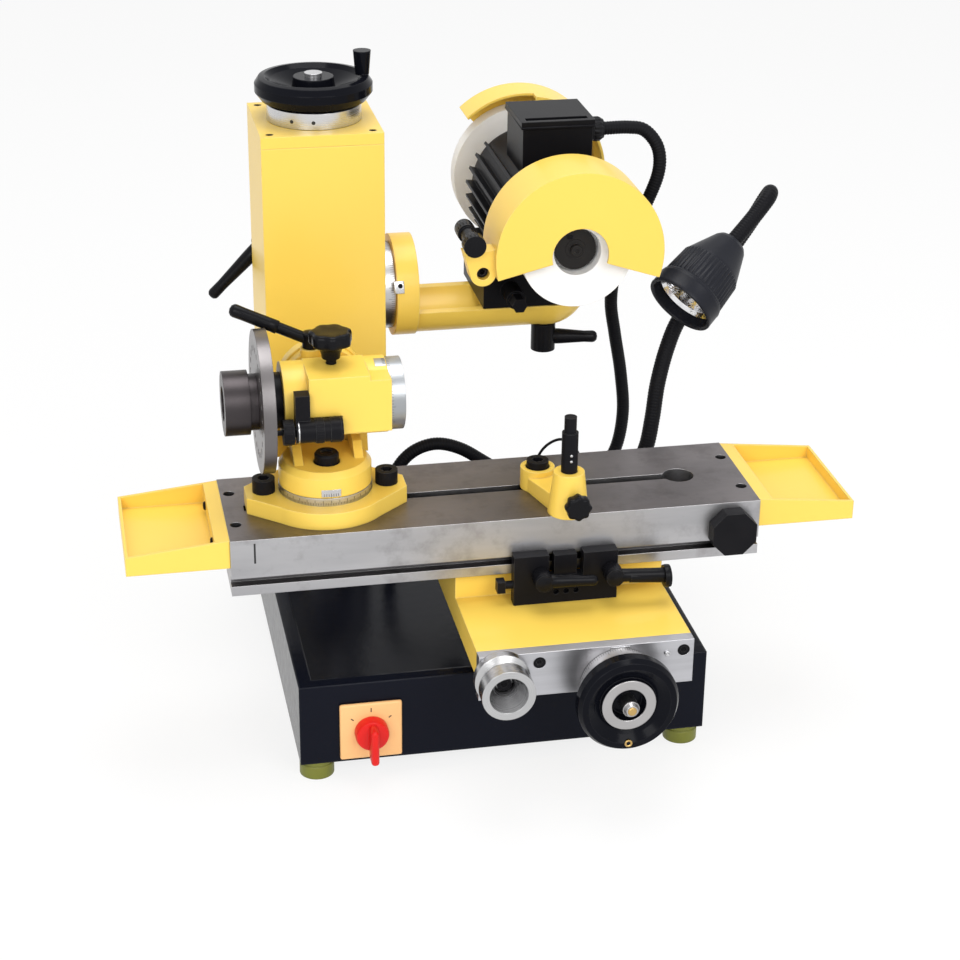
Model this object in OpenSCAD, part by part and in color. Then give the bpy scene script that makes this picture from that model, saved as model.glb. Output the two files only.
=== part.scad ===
// Tool and cutter grinder: base, cross slide, table, work head, column, wheel head and lamp.
// X runs along the table, Y runs from the operator to the column, Z = 0 is the bench top.

/* [Base] */
// Width of the base casting
base_w = 406; // [390:2:440]
// Depth of the base casting
base_d = 435; // [425:1:470]
// Height of the base casting
base_h = 86; // [80:1:92]
// Thickness of the base walls
base_wall = 14; // [10:1:18]
// Depth of the sunken well in the top
well_depth = 27; // [20:1:34]
// Thickness of the well floor
floor_t = 12; // [8:1:16]
// Base front ahead of the table centre line
base_ahead = 105; // [95:1:115]
// Diameter of a rubber foot
foot_d = 34; // [28:1:40]
// Height of a rubber foot
foot_h = 19; // [14:1:24]
// Side of the square switch plate
switch_w = 61; // [50:1:66]
// Thickness of the switch plate
switch_t = 5; // [4:0.5:8]
// Switch centre, in from the left end of the base
switch_left = 69; // [53:1:93]
// Diameter of the switch knob
switch_knob_d = 33; // [26:1:38]

/* [Cross slide] */
// Width of the saddle
saddle_w = 208; // [190:2:230]
// Saddle centre, right of the base centre
saddle_right = 62; // [50:1:70]
// Width of the cross ways under the saddle
way_w = 104; // [90:1:120]
// How far the saddle reaches down over the ways
way_grip = 15; // [12:1:20]
// Reach of the apron in front of the table centre line
apron_reach = 165; // [155:1:180]
// Thickness of the apron
apron_t = 28; // [26:1:34]
// Apron top below the underside of the table
apron_drop = 29; // [24:1:34]
// Thickness of the steel front plate
plate_t = 12; // [10:1:16]
// Height of the steel front plate
plate_h = 46; // [42:1:52]
// Diameter of the plate screw heads
plate_screw_d = 12; // [8:1:14]
// Width of the stop block
stop_w = 103; // [95:1:112]
// Thickness of the stop block
stop_t = 13; // [11:1:16]
// Length of a stop lever
stop_lever_l = 50; // [40:1:56]

/* [Feed drives] */
// Cross feed axis, right of the saddle centre
feed_right = 31; // [26:1:38]
// Cross feed axis below the apron top
feed_drop = 41; // [38:1:44]
// Diameter of the cross feed screw
screw_d = 16; // [12:1:18]
// Diameter of the cross feed handwheel
feed_wheel_d = 97; // [90:1:110]
// Thickness of the cross feed handwheel
feed_wheel_t = 22; // [18:1:26]
// Diameter of the cross feed dial
feed_dial_d = 76; // [66:1:82]
// Length of the cross feed dial
feed_dial_l = 23; // [18:1:28]
// Traverse axis, in from the left side of the saddle
cup_in = 21; // [18:1:26]
// Traverse axis below the apron top
cup_drop = 21; // [19:1:22]
// Diameter of the traverse cup
cup_d = 51; // [44:1:56]
// Length of the traverse cup in front of the plate
cup_l = 38; // [32:1:46]
// Width of the cup's rim
cup_rim = 7; // [5:0.5:9]
// Diameter of the traverse shaft
pinion_shaft_d = 10; // [8:1:11]
// Teeth on the traverse pinion
pinion_teeth = 16; // [14:1:20]
// Pitch radius of the traverse pinion
pinion_r = 12; // [11:0.5:14]

/* [Table] */
// Length of the table
table_l = 520; // [500:5:560]
// Width of the table
table_w = 140; // [130:1:150]
// Height of the table section
table_h = 58; // [54:1:64]
// Height of the table top above the bench
table_top = 250; // [240:1:270]
// Width of the T-slot neck
slot_w = 12; // [10:0.5:14]
// Depth of the T-slot neck
slot_neck = 11; // [9:1:14]
// Width of the T-slot foot
slot_foot_w = 21; // [18:1:24]
// Height of the T-slot foot
slot_foot_h = 8; // [6:1:10]
// Diameter of the round T-nut entry
entry_d = 31; // [26:1:34]
// Height of the dog groove in the front face
groove_h = 8; // [6:0.5:10]
// Depth of the dog groove
groove_depth = 10; // [8:1:12]
// Dog groove below the table top
groove_drop = 40; // [36:1:44]
// Diameter of the end holes
end_hole_d = 11; // [8:1:14]
// End holes, in from the end of the table
end_hole_in = 9; // [9:1:16]
// Width of the guide tongue under the table
tongue_w = 60; // [50:1:66]
// Height of the guide tongue
tongue_h = 16; // [12:1:20]
// Length of a side tray
tray_l = 98; // [80:1:120]
// Wall of a side tray
tray_wall = 3; // [2:0.5:4]
// Width of a side tray's flange at the table
tray_lip = 14; // [8:1:20]
// Thickness of a side tray's floor
tray_floor = 7; // [3:1:9]
// Depth of a side tray at the table
tray_h = 29; // [24:1:34]
// Depth of a side tray at its outer end
tray_end_h = 19; // [14:1:24]
// Diameter of the stop dog across its corners
dog_d = 48; // [40:1:52]
// Thickness of the stop dog
dog_t = 15; // [12:1:20]

/* [Work head] */
// Work head centre, in from the left end of the table
head_in = 100; // [95:1:110]
// Half length of the diamond base
diamond_l = 78; // [76:1:84]
// Radius of the diamond base
diamond_r = 62; // [60:1:66]
// Thickness of the diamond base
diamond_t = 17; // [14:1:20]
// Radius of the graduated ring
ring_r = 45.5; // [42:0.5:47]
// Height of the graduated ring
ring_h = 8; // [6:1:10]
// Height of the turntable
turn_h = 25; // [22:1:28]
// Height of the work spindle above the table top
spindle_rise = 111; // [110:1:118]
// Radius of the spindle housing
house_r = 37; // [35:1:38]
// Length of the spindle housing
house_l = 100; // [94:1:108]
// Radius of the work spindle
spindle_r = 22; // [20:1:24]
// Radius of the collet bore in the work spindle
collet_r = 15.9; // [12:0.1:17]
// Radius of the index plate
index_r = 69; // [66:0.5:72]
// Thickness of the index plate
index_t = 12; // [10:1:14]
// Holes in the index plate
index_holes = 24; // [12:12:24]
// Radius of the draw knob
draw_r = 31; // [28:1:34]
// Radius of the work dial
work_dial_r = 35; // [30:1:36]
// Length of the work dial
work_dial_l = 15; // [11:1:18]
// Radius of the star knob
star_r = 21; // [18:1:24]
// Diameter of a clamp bolt head
bolt_head_d = 22; // [18:1:24]

/* [Tooth rest] */
// Tooth rest clamp bolt, right of the table centre
rest_right = 51; // [40:1:60]
// Diameter of the tooth rest post
post_d = 16; // [12:1:18]
// Height of the post boss
boss_h = 43; // [38:1:48]
// Radius at the foot of the post boss
boss_r = 20; // [18:1:22]

/* [Column] */
// Column axis, in from the left side of the base
col_in = 67; // [67:1:71]
// Column axis behind the table centre line
col_back = 219; // [214:1:226]
// Width of the column sleeve
col_w = 122; // [118:1:126]
// Depth of the column sleeve
col_d = 128; // [118:1:132]
// Sleeve bottom above the table top
sleeve_rise = 55; // [45:1:65]
// Height of the column sleeve
sleeve_h = 255; // [250:1:270]
// Wall of the column sleeve
sleeve_wall = 10; // [8:1:12]
// Thickness of the column cap
cap_t = 12; // [10:1:15]
// Diameter of the round post
round_post_d = 84; // [78:1:86]
// Diameter of the pedestal
pedestal_d = 104; // [98:1:108]
// Height of the pedestal
pedestal_h = 92; // [80:1:100]
// Diameter of the lift dial
lift_dial_d = 95; // [88:1:98]
// Height of the lift dial
lift_dial_h = 16; // [12:1:20]
// Diameter of the lift handwheel
lift_wheel_d = 118; // [110:1:125]
// Diameter of the lift screw
lift_screw_d = 18; // [14:1:20]

/* [Wheel head] */
// Arm axis above the sleeve bottom
arm_rise = 85; // [80:1:90]
// Radius of the arm flange
flange_r = 53; // [50:1:56]
// Radius of the arm neck
neck_r = 45; // [42:1:46]
// Length of the graduated arm ring
arm_ring_l = 14; // [12:1:18]
// Motor axis, right of the table centre
motor_right = 105; // [100:1:112]
// Motor axis above the arm axis
motor_rise = 74; // [72:1:80]
// Radius of the motor frame without its fins
motor_r = 62; // [58:1:63]
// Height of the cooling fins
fin_h = 8; // [6:1:9]
// Radius of the motor shaft
shaft_r = 9; // [8:0.5:10]
// Radius of the front wheel
front_wheel_r = 57; // [50:1:62]
// Width of the front wheel
front_wheel_w = 25; // [20:1:27]
// Radius of the rear wheel
rear_wheel_r = 75; // [70:1:78]
// Width of the rear wheel
rear_wheel_w = 20; // [16:1:24]
// Radius of the front guard
guard_r = 85; // [82:1:88]
// Depth of the front guard
guard_l = 65; // [63:1:68]
// Sheet thickness of the guards
guard_wall = 3; // [2:0.5:3.5]
// Angle where the guard opening starts on the left
guard_open_from = 194; // [190:1:200]
// Angle where the guard opening ends on the right
guard_open_to = 342; // [336:1:346]
// Width of the terminal box
box_w = 72; // [66:1:78]
// Length of the terminal box
box_l = 75; // [68:1:82]
// Height of the terminal box above the motor's axis
box_h = 99; // [94:1:104]
// Thickness of the terminal box lid
box_lid = 7; // [5:0.5:9]

/* [Lamp and cables] */
// Diameter of the conduit gland on the deck
hose_gland_d = 22; // [20:1:26]
// Diameter of a lead gland on the deck
lead_gland_d = 10; // [8:0.5:12]
// Height of the glands on the deck
gland_h = 22; // [18:1:26]
// Outer diameter of the gooseneck
neck_d = 17; // [15:0.5:18]
// Outer diameter of the motor conduit
conduit_d = 14; // [12:0.5:15]
// Diameter of the lamp lead
lead_d = 3; // [2.5:0.5:4]
// Radius of the lamp mouth
lamp_mouth_r = 37; // [34:1:38]
// Length of the lamp head
lamp_l = 92; // [86:1:96]

/* [Hidden] */
$fn = 64;
// Radial clearance of a running fit, and the gap between faces that slide past each other
run = 0.06;
gap = 0.3;
// Overlap used so that a cut breaks cleanly through a face
over = 1;

// Levels
base_bottom = foot_h;
base_top = base_bottom + base_h;
deck_z = base_top - well_depth;
table_z = table_top - table_h;
apron_z = table_z - apron_drop;
saddle_z = apron_z - apron_t;
way_z = saddle_z + way_grip;
spindle_z = table_top + spindle_rise;
sleeve_z = table_top + sleeve_rise;
cap_z = sleeve_z + sleeve_h;
dial_z = cap_z + cap_t;
arm_z = sleeve_z + arm_rise;
motor_z = arm_z + motor_rise;
platform_z = arm_z - 18;
round_post_z = sleeve_z + 180;

// Places along Y, from the table centre line
base_front = -base_ahead;
base_back = base_front + base_d;
way_back = 125;
saddle_back = 43;
plate_y = -apron_reach - plate_t;
feed_wheel_y = plate_y - feed_dial_l;
feed_end = feed_wheel_y - feed_wheel_t - 8;
table_front = -table_w / 2;
guard_y = 65;
guard_back = guard_y + guard_l;
front_wheel_y = 79;
motor_y = guard_back + 5;
motor_end = 318;
rear_wheel_y = motor_end + 20;
rear_guard_back = rear_wheel_y + rear_wheel_w + 17;

// Half way between the front of the feed screw and the back of the rear guard
shift_y = (feed_end + rear_guard_back) / 2;

// Places along X
screw_x = saddle_right + feed_right;
screw_z = apron_z - feed_drop;
cup_x = saddle_right - saddle_w / 2 + cup_in;
cup_z = apron_z - cup_drop;
col_x = col_in - base_w / 2;
col_face = col_x + col_w / 2;
flange_x = col_face + arm_ring_l + gap;
head_x = head_in - table_l / 2;
house_x = head_x - 41;
house_end = house_x + house_l;
index_x = house_x - 11 - index_t;
tilt_x = head_x + 3;
plunger_y = -50;
plunger_z = spindle_z - 12;
index_circle = norm([plunger_y, plunger_z - spindle_z]);
index_phase = atan2(plunger_z - spindle_z, plunger_y);
turn_z = table_top + diamond_t + ring_h + gap;
turn_top = turn_z + turn_h;
rest_y = -8;
boss_x = rest_right + 17;
boss_y = table_front + 9;
dog_x = table_l / 2 - 29;
dog_z = table_top - 28;
stop_x = saddle_right - 51;
stop_y = table_front - gap - stop_t;
lever_z = apron_z + 32;
pivot_r = 10;
nose_r = 30;

// Round places that the conduit, the lead and the gooseneck leave from
gland_y = motor_y + 70;
gland_z = motor_z + box_h - 12;
gland_x = motor_right + box_w / 2 + 18;
switch_x = switch_left - base_w / 2;
neck_foot = [base_w / 2 - 34, 150, deck_z];
neck_dx = neck_foot[0] - 169;
hose_x = col_x + 70;
neck_socket_h = 44;
lamp_back = [294 + neck_dx, 169, 433];
lamp_aim = [-0.71, -0.43, -0.55];

// Route points, in the frame of the table centre line and the bench
conduit_points = [
  [-66, 200, deck_z + gland_h], [-66, 200, 128], [-64, 201, 158], [-56, 203, 185], [-38, 205, 203],
  [-13, 207, 209],
  [14, 210, 200], [42, 214, 180],
  [74, 218, 156], [108, 224, 140], [142, 230, 138], [172, 234, 148], [194, 236, 172], [202, 237, 216],
  [198, 238, 264], [189, 236, 312], [182, 231, 352], [184, 222, 394], [194, 208, 436], [208, 197, 474],
  [218, 195, 506], [217, 199, 530], [204, 204, 547], [186, 205, 551], [gland_x + gap, gland_y, gland_z]];
conduit_route = [
  for (i = [0:len(conduit_points) - 1]) conduit_points[i] + [(hose_x + 66) * max(0, 1 - i / 8), 0, 0]];
lead_route = [
  [72, 150, deck_z + gland_h], [73, 149, 130], [76, 147, 170], [82, 144, 206], [92, 142, 226],
  [108, 141, 234],
  [122, 141, 226], [131, 142, 208], [136, 145, 174], [139, 148, 132], [140, 150, deck_z + gland_h]];
neck_points = [
  [169, 150, deck_z + neck_socket_h + 2 * gap], [169, 150, 140], [177, 150, 160], [192, 150, 184],
  [205, 150, 213],
  [212, 155, 245], [219, 165, 280], [232, 180, 314], [249, 195, 341], [279, 206, 375], [309, 213, 411],
  [331, 216, 442], [341, 213, 462], [344, 205, 473], [338, 194, 470], [324, 186, 457], [309, 177, 445],
  [294, 169, 433]];
gooseneck_route = [for (p = neck_points) p + [neck_dx, 0, 0]];
conduit_side = [0, 1, 0];
neck_side = [0.76, 0, -0.65];
conduit_ribs = 108;
neck_ribs = 76;
hose_sides = 8;
// Bore rings are this many outer rings apart
bore_step = 4;

yellow = "#f2c94c";
black = "#1b1d22";
iron = "#8d8a88";
steel = "#b9bcc0";
white = "#f1f0ec";

// Everything is drawn from the table centre line and moved so that the origin is under the middle
module place() { translate([0, -shift_y, 0]) children(); }

// Box between two corners
module block(a, b) { translate(a) cube(b - a); }

// Round bar along Y, and along X
module bar_y(x, z, y0, y1, r) { translate([x, y0, z]) rotate([-90, 0, 0]) cylinder(r = r, h = y1 - y0); }
module bar_x(y, z, x0, x1, r) { translate([x0, y, z]) rotate([0, 90, 0]) cylinder(r = r, h = x1 - x0); }

// Round bar, or cone, between two points
module rod(p, q, r1, r2) {
  v = q - p;
  translate(p) rotate([0, acos(v[2] / norm(v)), atan2(v[1], v[0])]) cylinder(r1 = r1, r2 = r2, h = norm(v));
}

// Plate whose outline is drawn in X and Z, and plate whose outline is drawn in Y and Z
module plate_xz(y0, y1) { translate([0, y1, 0]) rotate([90, 0, 0]) linear_extrude(y1 - y0) children(); }
module plate_yz(x0, x1) { translate([x0, 0, 0]) rotate([90, 0, 90]) linear_extrude(x1 - x0) children(); }

// Pie slice from angle a to angle b
module slice(r, a, b) {
  steps = ceil((b - a) / 10);
  polygon(concat([[0, 0]], [for (i = [0:steps]) let (t = a + (b - a) * i / steps) r * [cos(t), sin(t)]]));
}

// Smooth curve through the points of a route, even steps along it, and its direction
function curve_at(p, i, t) =
  let (a = p[max(i - 1, 0)], b = p[i], c = p[i + 1], d = p[min(i + 2, len(p) - 1)])
  0.5 * (2 * b + (c - a) * t + (2 * a - 5 * b + 4 * c - d) * t * t + (3 * b - a - 3 * c + d) * t * t * t);
function curve(p, n) = [for (i = [0:len(p) - 2]) for (k = [0:n - 1]) curve_at(p, i, k / n), p[len(p) - 1]];
function runs(q) = [
  for (i = 0, s = 0; i < len(q); s = s + norm(q[min(i + 1, len(q) - 1)] - q[i]), i = i + 1) s];
function pick(q, l, s) = [for (c = [0:2]) lookup(s, [for (i = [0:len(q) - 1]) [l[i], q[i][c]]])];
function even(q, n) = let (l = runs(q)) [for (k = [0:n]) pick(q, l, l[len(q) - 1] * k / n)];
function heading(q, i) =
  let (v = q[min(i + 1, len(q) - 1)] - q[max(i - 1, 0)]) v / norm(v);
function hoop(q, i, r, side) =
  let (t = heading(q, i), u = cross(t, side) / norm(cross(t, side)), w = cross(t, u))
  [for (k = [0:hose_sides - 1]) q[i] + r * (cos(360 * k / hose_sides) * u + sin(360 * k / hose_sides) * w)];
function flat(lists) = [for (l = lists) for (p = l) p];

// Skin between neighbouring hoops, outside or inside, and the ring that closes an end
function skin(first, hoops, inside) = [
  for (i = [0:hoops - 2]) for (k = [0:hose_sides - 1])
    let (m = (k + 1) % hose_sides, a = first + i * hose_sides, b = a + hose_sides)
    each inside ? [[a + k, b + m, b + k], [a + k, a + m, b + m]]
      : [[a + k, b + k, b + m], [a + k, b + m, a + m]]];
function end_ring(o, n, last) = [
  for (k = [0:hose_sides - 1])
    let (m = (k + 1) % hose_sides)
    each last ? [[o + k, n + m, o + m], [o + k, n + k, n + m]]
      : [[o + k, o + m, n + m], [o + k, n + m, n + k]]];

// Ribbed hose with a smooth bore
module hose(route, ribs, crest, root, bore, side) {
  rings = 2 * ribs;
  q = even(curve(route, 12), rings);
  outer = [for (i = [0:rings]) hoop(q, i, i % 2 == 0 ? root : crest, side)];
  inner = [for (i = [0:bore_step:rings]) hoop(q, i, bore, side)];
  start = len(outer) * hose_sides;
  polyhedron(
    flat(concat(outer, inner)),
    concat(
      skin(0, len(outer), false),
      skin(start, len(inner), true),
      end_ring(0, start, false),
      end_ring(rings * hose_sides, start + (len(inner) - 1) * hose_sides, true)));
}

// Plain round cord
module cord(route, rings, r, side) {
  q = even(curve(route, 12), rings);
  hoops = [for (i = [0:rings]) hoop(q, i, r, side)];
  last = rings * hose_sides;
  polyhedron(
    flat(hoops),
    concat(
      skin(0, len(hoops), false),
      [for (k = [1:hose_sides - 2]) [0, k, k + 1]],
      [for (k = [1:hose_sides - 2]) [last, last + k + 1, last + k]]));
}

// Least gap between stretches of a hose that are more than six diameters apart along it
function hose_gap(route, d) =
  let (q = even(curve(route, 12), 120), l = runs(q))
  min([for (i = [0:119]) for (k = [i + 1:120]) if (l[k] - l[i] > 6 * d) norm(q[k] - q[i])]) - d;
echo(conduit_gap = hose_gap(conduit_route, conduit_d), gooseneck_gap = hose_gap(gooseneck_route, neck_d));

// Base

module base_casting() color(black) place() difference() {
  in_w = base_w / 2 - base_wall;
  union() {
    difference() {
      block([-base_w / 2, base_front, base_bottom], [base_w / 2, base_back, base_top]);
      block([-in_w, base_front + base_wall, deck_z], [in_w, base_back - base_wall, base_top + over]);
      block(
        [-in_w, base_front + base_wall, base_bottom - over],
        [in_w, base_back - base_wall, deck_z - floor_t]);
    }
    block(
      [saddle_right - way_w / 2, base_front + base_wall - over, deck_z - over],
      [saddle_right + way_w / 2, way_back, way_z]);
  }
  bar_y(screw_x, screw_z, base_front - over, way_back + over, screw_d / 2 + run);
}

module rubber_feet() color("#6f7a1e") place()
  for (x = [-1, 1], y = [base_front + foot_d / 2 + 1, base_back - foot_d / 2 - 1])
    translate([x * (base_w / 2 - foot_d / 2 - 1), y, 0]) {
      cylinder(d = foot_d, h = foot_h - 6);
      translate([0, 0, foot_h - 6]) cylinder(d = foot_d - 2, h = 2);
      translate([0, 0, foot_h - 4]) cylinder(d = foot_d, h = 4);
    }

module column_post() color(black) place() translate([col_x, col_back, 0]) difference() {
  union() {
    translate([0, 0, deck_z]) cylinder(d = pedestal_d, h = pedestal_h);
    translate([0, 0, deck_z + pedestal_h - over])
      cylinder(d = round_post_d, h = round_post_z - deck_z - pedestal_h + over);
  }
  translate([0, 0, sleeve_z + 15]) cylinder(d = lift_screw_d + 2 * run, h = round_post_z);
}

module switch_plate() color("#e8913a") place() {
  z = base_bottom + switch_w / 2 + 4;
  difference() {
    block(
      [switch_x - switch_w / 2, base_front - switch_t, z - switch_w / 2],
      [switch_x + switch_w / 2, base_front, z + switch_w / 2]);
    bar_y(switch_x, z, base_front - switch_t - over, base_front - 2, 5 + run);
  }
}

module switch_knob() color("#d8251d") place() {
  z = base_bottom + switch_w / 2 + 4;
  y = base_front - switch_t - gap;
  bar_y(switch_x, z, y - 12, y, switch_knob_d / 2);
  bar_y(switch_x, z, y - over, base_front - 2 - gap, 5);
  block([switch_x - 4, y - 28, z - 24], [switch_x + 4, y - 11, z + 14]);
}

// Lamp socket, conduit gland and lead glands on the deck, mains inlet gland on the back
module base_fittings() color(black) place() {
  translate(neck_foot) cylinder(d = 34, h = 8);
  translate(neck_foot) cylinder(d = 26, h = neck_socket_h);
  translate([hose_x, 200, deck_z]) cylinder(d = hose_gland_d, h = gland_h);
  bar_y(150, base_bottom + base_h / 2, base_back, base_back + 16, 11);
  for (x = [72, 140]) translate([x, 150, deck_z]) cylinder(d = lead_gland_d, h = gland_h);
}

module conduit() color("#16171a") place()
  hose(conduit_route, conduit_ribs, conduit_d / 2, conduit_d / 2 - 0.9, conduit_d / 2 - 2.6, conduit_side);

module lamp_lead() color("#16171a") place() cord(lead_route, 40, lead_d / 2, conduit_side);

// Cross slide

module saddle() color(yellow) place() {
  x0 = saddle_right - saddle_w / 2;
  x1 = saddle_right + saddle_w / 2;
  top = table_z - gap;
  difference() {
    union() {
      block([x0, -apron_reach, saddle_z], [x1, saddle_back, apron_z]);
      block([x0, table_front + 12, apron_z - over], [x1, saddle_back, top]);
      block([x0, -15 + gap, top - over], [x1, -15 + tongue_w - gap, table_z + tongue_h - gap]);
    }
    block(
      [saddle_right - way_w / 2 - gap, -apron_reach - over, saddle_z - over],
      [saddle_right + way_w / 2 + gap, saddle_back + over, way_z + gap]);
    bar_y(cup_x, cup_z, -apron_reach - over, saddle_back + over, pinion_shaft_d / 2 + run);
    block([x0 - over, saddle_back - over, saddle_z - over], [x1 + over, 80, table_top]);
  }
}

module front_plate() color(iron) place() difference() {
  union() {
    block(
      [saddle_right - saddle_w / 2, plate_y, apron_z - plate_h],
      [saddle_right + saddle_w / 2, -apron_reach, apron_z]);
    bar_y(screw_x, screw_z, plate_y, -apron_reach, screw_d / 2 + 12);
  }
  bar_y(screw_x, screw_z, plate_y - over, over - apron_reach, screw_d / 2 + run);
  bar_y(cup_x, cup_z, plate_y - over, over - apron_reach, pinion_shaft_d / 2 + run);
  for (x = plate_screw_x) bar_y(x, apron_z - 11, plate_y - over, plate_y + 4, plate_screw_d / 2);
}

plate_screw_x = [saddle_right - 46, saddle_right + saddle_w / 2 - 10];

module plate_screws() color(black) place()
  for (x = plate_screw_x) difference() {
    bar_y(x, apron_z - 11, plate_y + 1, plate_y + 4, plate_screw_d / 2);
    translate([x, plate_y + 3, apron_z - 11]) rotate([90, 0, 0])
      cylinder(d = plate_screw_d / 2, h = 4, $fn = 6);
  }

module stop_block() color(black) place() {
  x1 = stop_x + stop_w;
  third = stop_w / 3;
  back = table_front - gap;
  difference() {
    union() {
      block([stop_x, stop_y, apron_z], [x1, back, apron_z + 28]);
      block([stop_x, stop_y, apron_z + 27], [stop_x + third, back, apron_z + 52]);
      block([stop_x + third + 6, stop_y + 3, apron_z + 27], [x1 - third - 6, back, apron_z + 50]);
      block([x1 - third, stop_y, apron_z + 27], [x1, back, apron_z + 52]);
      rod([stop_x - 14, stop_y + 7, apron_z + 20], [stop_x + 1, stop_y + 7, apron_z + 20], 4, 4);
      block([stop_x - 16, stop_y + 1, apron_z + 14], [stop_x - 8, stop_y + 12, apron_z + 26]);
    }
    for (x = [42, 52, 62]) bar_y(stop_x + x, apron_z + 12, stop_y - over, stop_y + 6, 3);
    for (x = stop_hub_x) bar_y(x, lever_z, stop_y - over, stop_y + 10, 4 + run);
  }
}

stop_hub_x = [stop_x + 26, stop_x + stop_w - 7];

// Ratchet lever on a stud: hub and straight handle to the right
module stop_lever(x) {
  y = stop_y - gap;
  bar_y(x, lever_z, y - 20, y, 9);
  bar_y(x, lever_z, y - over, stop_y + 9, 4);
  rod([x, y - 14, lever_z], [x + stop_lever_l, y - 16, lever_z - 2], 6, 4.5);
}

module left_stop_lever() color(black) place() stop_lever(stop_hub_x[0]);

module right_stop_lever() color(black) place() {
  stop_lever(stop_hub_x[1]);
  end = [stop_hub_x[1] + stop_lever_l - 1, stop_y - 16, lever_z - 4];
  rod(end, end + [6, 0, 0], 11, 11);
  rod(end - [34, 0, -2.5], end, 6, 6.5);
}

module cross_screw() color(steel) place() {
  bar_y(screw_x, screw_z, feed_end + 4, 20, screw_d / 2);
  rod([screw_x, feed_end, screw_z], [screw_x, feed_end + 4 + over, screw_z], screw_d / 2 - 2.5, screw_d / 2);
}

module cross_dial() color(steel) place() difference() {
  bar_y(screw_x, screw_z, feed_wheel_y, plate_y - gap, feed_dial_d / 2);
  bar_y(screw_x, screw_z, feed_wheel_y - over, plate_y + over, screw_d / 2);
}

module cross_handwheel() color(black) place() {
  r = feed_wheel_d / 2;
  y = feed_wheel_y;
  t = feed_wheel_t;
  translate([screw_x, y, screw_z]) rotate([90, 0, 0]) rotate_extrude()
    polygon([
      [screw_d / 2, 0], [r - 8, 0], [r - 2, 2], [r, 6], [r, t - 6], [r - 3, t - 1], [r - 9, t],
      [r - 16, t - 5], [27, t - 8], [26, t - 4], [17, t - 4], [15, 8], [screw_d / 2, 8]]);
}

// Cup, shaft and pinion in one piece
module traverse_drive() color(steel) place() {
  step = 360 / pinion_teeth;
  translate([cup_x, plate_y - gap, cup_z]) rotate([90, 0, 0]) rotate_extrude() polygon([
    [pinion_shaft_d / 2 - over, 0], [cup_d / 2 + 1, 0], [cup_d / 2 + 1, 9], [cup_d / 2 - 5, 12],
    [cup_d / 2 - 5, 18], [cup_d / 2, 21], [cup_d / 2, cup_l], [cup_d / 2 - cup_rim, cup_l], [8, 12],
    [pinion_shaft_d / 2 - over, 12]]);
  bar_y(cup_x, cup_z, plate_y - 11, saddle_back + 14, pinion_shaft_d / 2);
  translate([cup_x, saddle_back + 14, cup_z]) rotate([90, 0, 0]) linear_extrude(12)
    polygon([
      for (k = [0:pinion_teeth - 1])
        for (c = [[-0.29, -1.7], [-0.1, 1.2], [0.1, 1.2], [0.29, -1.7]])
          (pinion_r + c[1]) * [cos(90 + (k + c[0]) * step), sin(90 + (k + c[0]) * step)]]);
}

// Table

module table() color(iron) place() difference() {
  l = table_l / 2;
  slot_from = -l + 20;
  slot_to = l - 64;
  block([-l, table_front, table_z], [l, -table_front, table_top]);
  block([slot_from, -slot_w / 2, table_top - slot_neck - over], [slot_to, slot_w / 2, table_top + over]);
  block(
    [slot_from, -slot_foot_w / 2, table_top - slot_neck - slot_foot_h],
    [slot_to, slot_foot_w / 2, table_top - slot_neck]);
  translate([slot_to, 0, table_top - slot_neck - slot_foot_h]) cylinder(d = entry_d, h = table_h);
  block(
    [-l - over, table_front - over, table_top - groove_drop - groove_h],
    [l + over, table_front + groove_depth, table_top - groove_drop]);
  block([-l - over, -15, table_z - over], [l + over, -15 + tongue_w, table_z + tongue_h]);
  for (x = [-1, 1], y = [-1, 1])
    translate([x * (l - end_hole_in), y * table_w / 4, table_top - 20]) cylinder(d = end_hole_d, h = 21);
}

module table_rack() color(steel) place() {
  pitch = 2 * PI * pinion_r / pinion_teeth;
  line = cup_z + pinion_r;
  x0 = cup_x - 44 * pitch;
  x1 = cup_x + 32 * pitch;
  plate_xz(saddle_back + 2, saddle_back + 14)
    polygon(concat(
      [[x1, table_z], [x0, table_z]],
      [for (k = [-43:31])
        let (x = cup_x + (k + 0.5) * pitch)
        each [[x - 0.36 * pitch, line + 1.9], [x - 0.09 * pitch, line - 1.1],
          [x + 0.09 * pitch, line - 1.1], [x + 0.36 * pitch, line + 1.9]]]));
}

// Tray to the right of the table end
module tray() plate_and_hollow(table_l / 2, tray_l);

module plate_and_hollow(x, l) difference() {
  w = table_w / 2 - 2;
  plate_xz(-w, w) polygon([
    [x, table_top - tray_h], [x + l, table_top - tray_h], [x + l, table_top - tray_h + tray_end_h],
    [x, table_top]]);
  plate_xz(-w + tray_wall, w - tray_wall) polygon([
    [x + tray_lip, table_top - tray_h + tray_floor], [x + l - tray_wall, table_top - tray_h + tray_floor],
    [x + l - tray_wall, table_top + over], [x + tray_lip, table_top + over]]);
}

module right_tray() color(yellow) place() tray();

module left_tray() color(yellow) place() mirror([1, 0, 0]) tray();

module stop_dog() color(black) place() {
  y = table_front - gap;
  translate([dog_x, y, dog_z]) rotate([90, 22.5, 0]) cylinder(d = dog_d, h = dog_t, $fn = 8);
  block(
    [dog_x - 12, y - over, table_top - groove_drop - groove_h + gap],
    [dog_x + 12, table_front + groove_depth - gap, table_top - groove_drop - gap]);
}

// Work head

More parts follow.
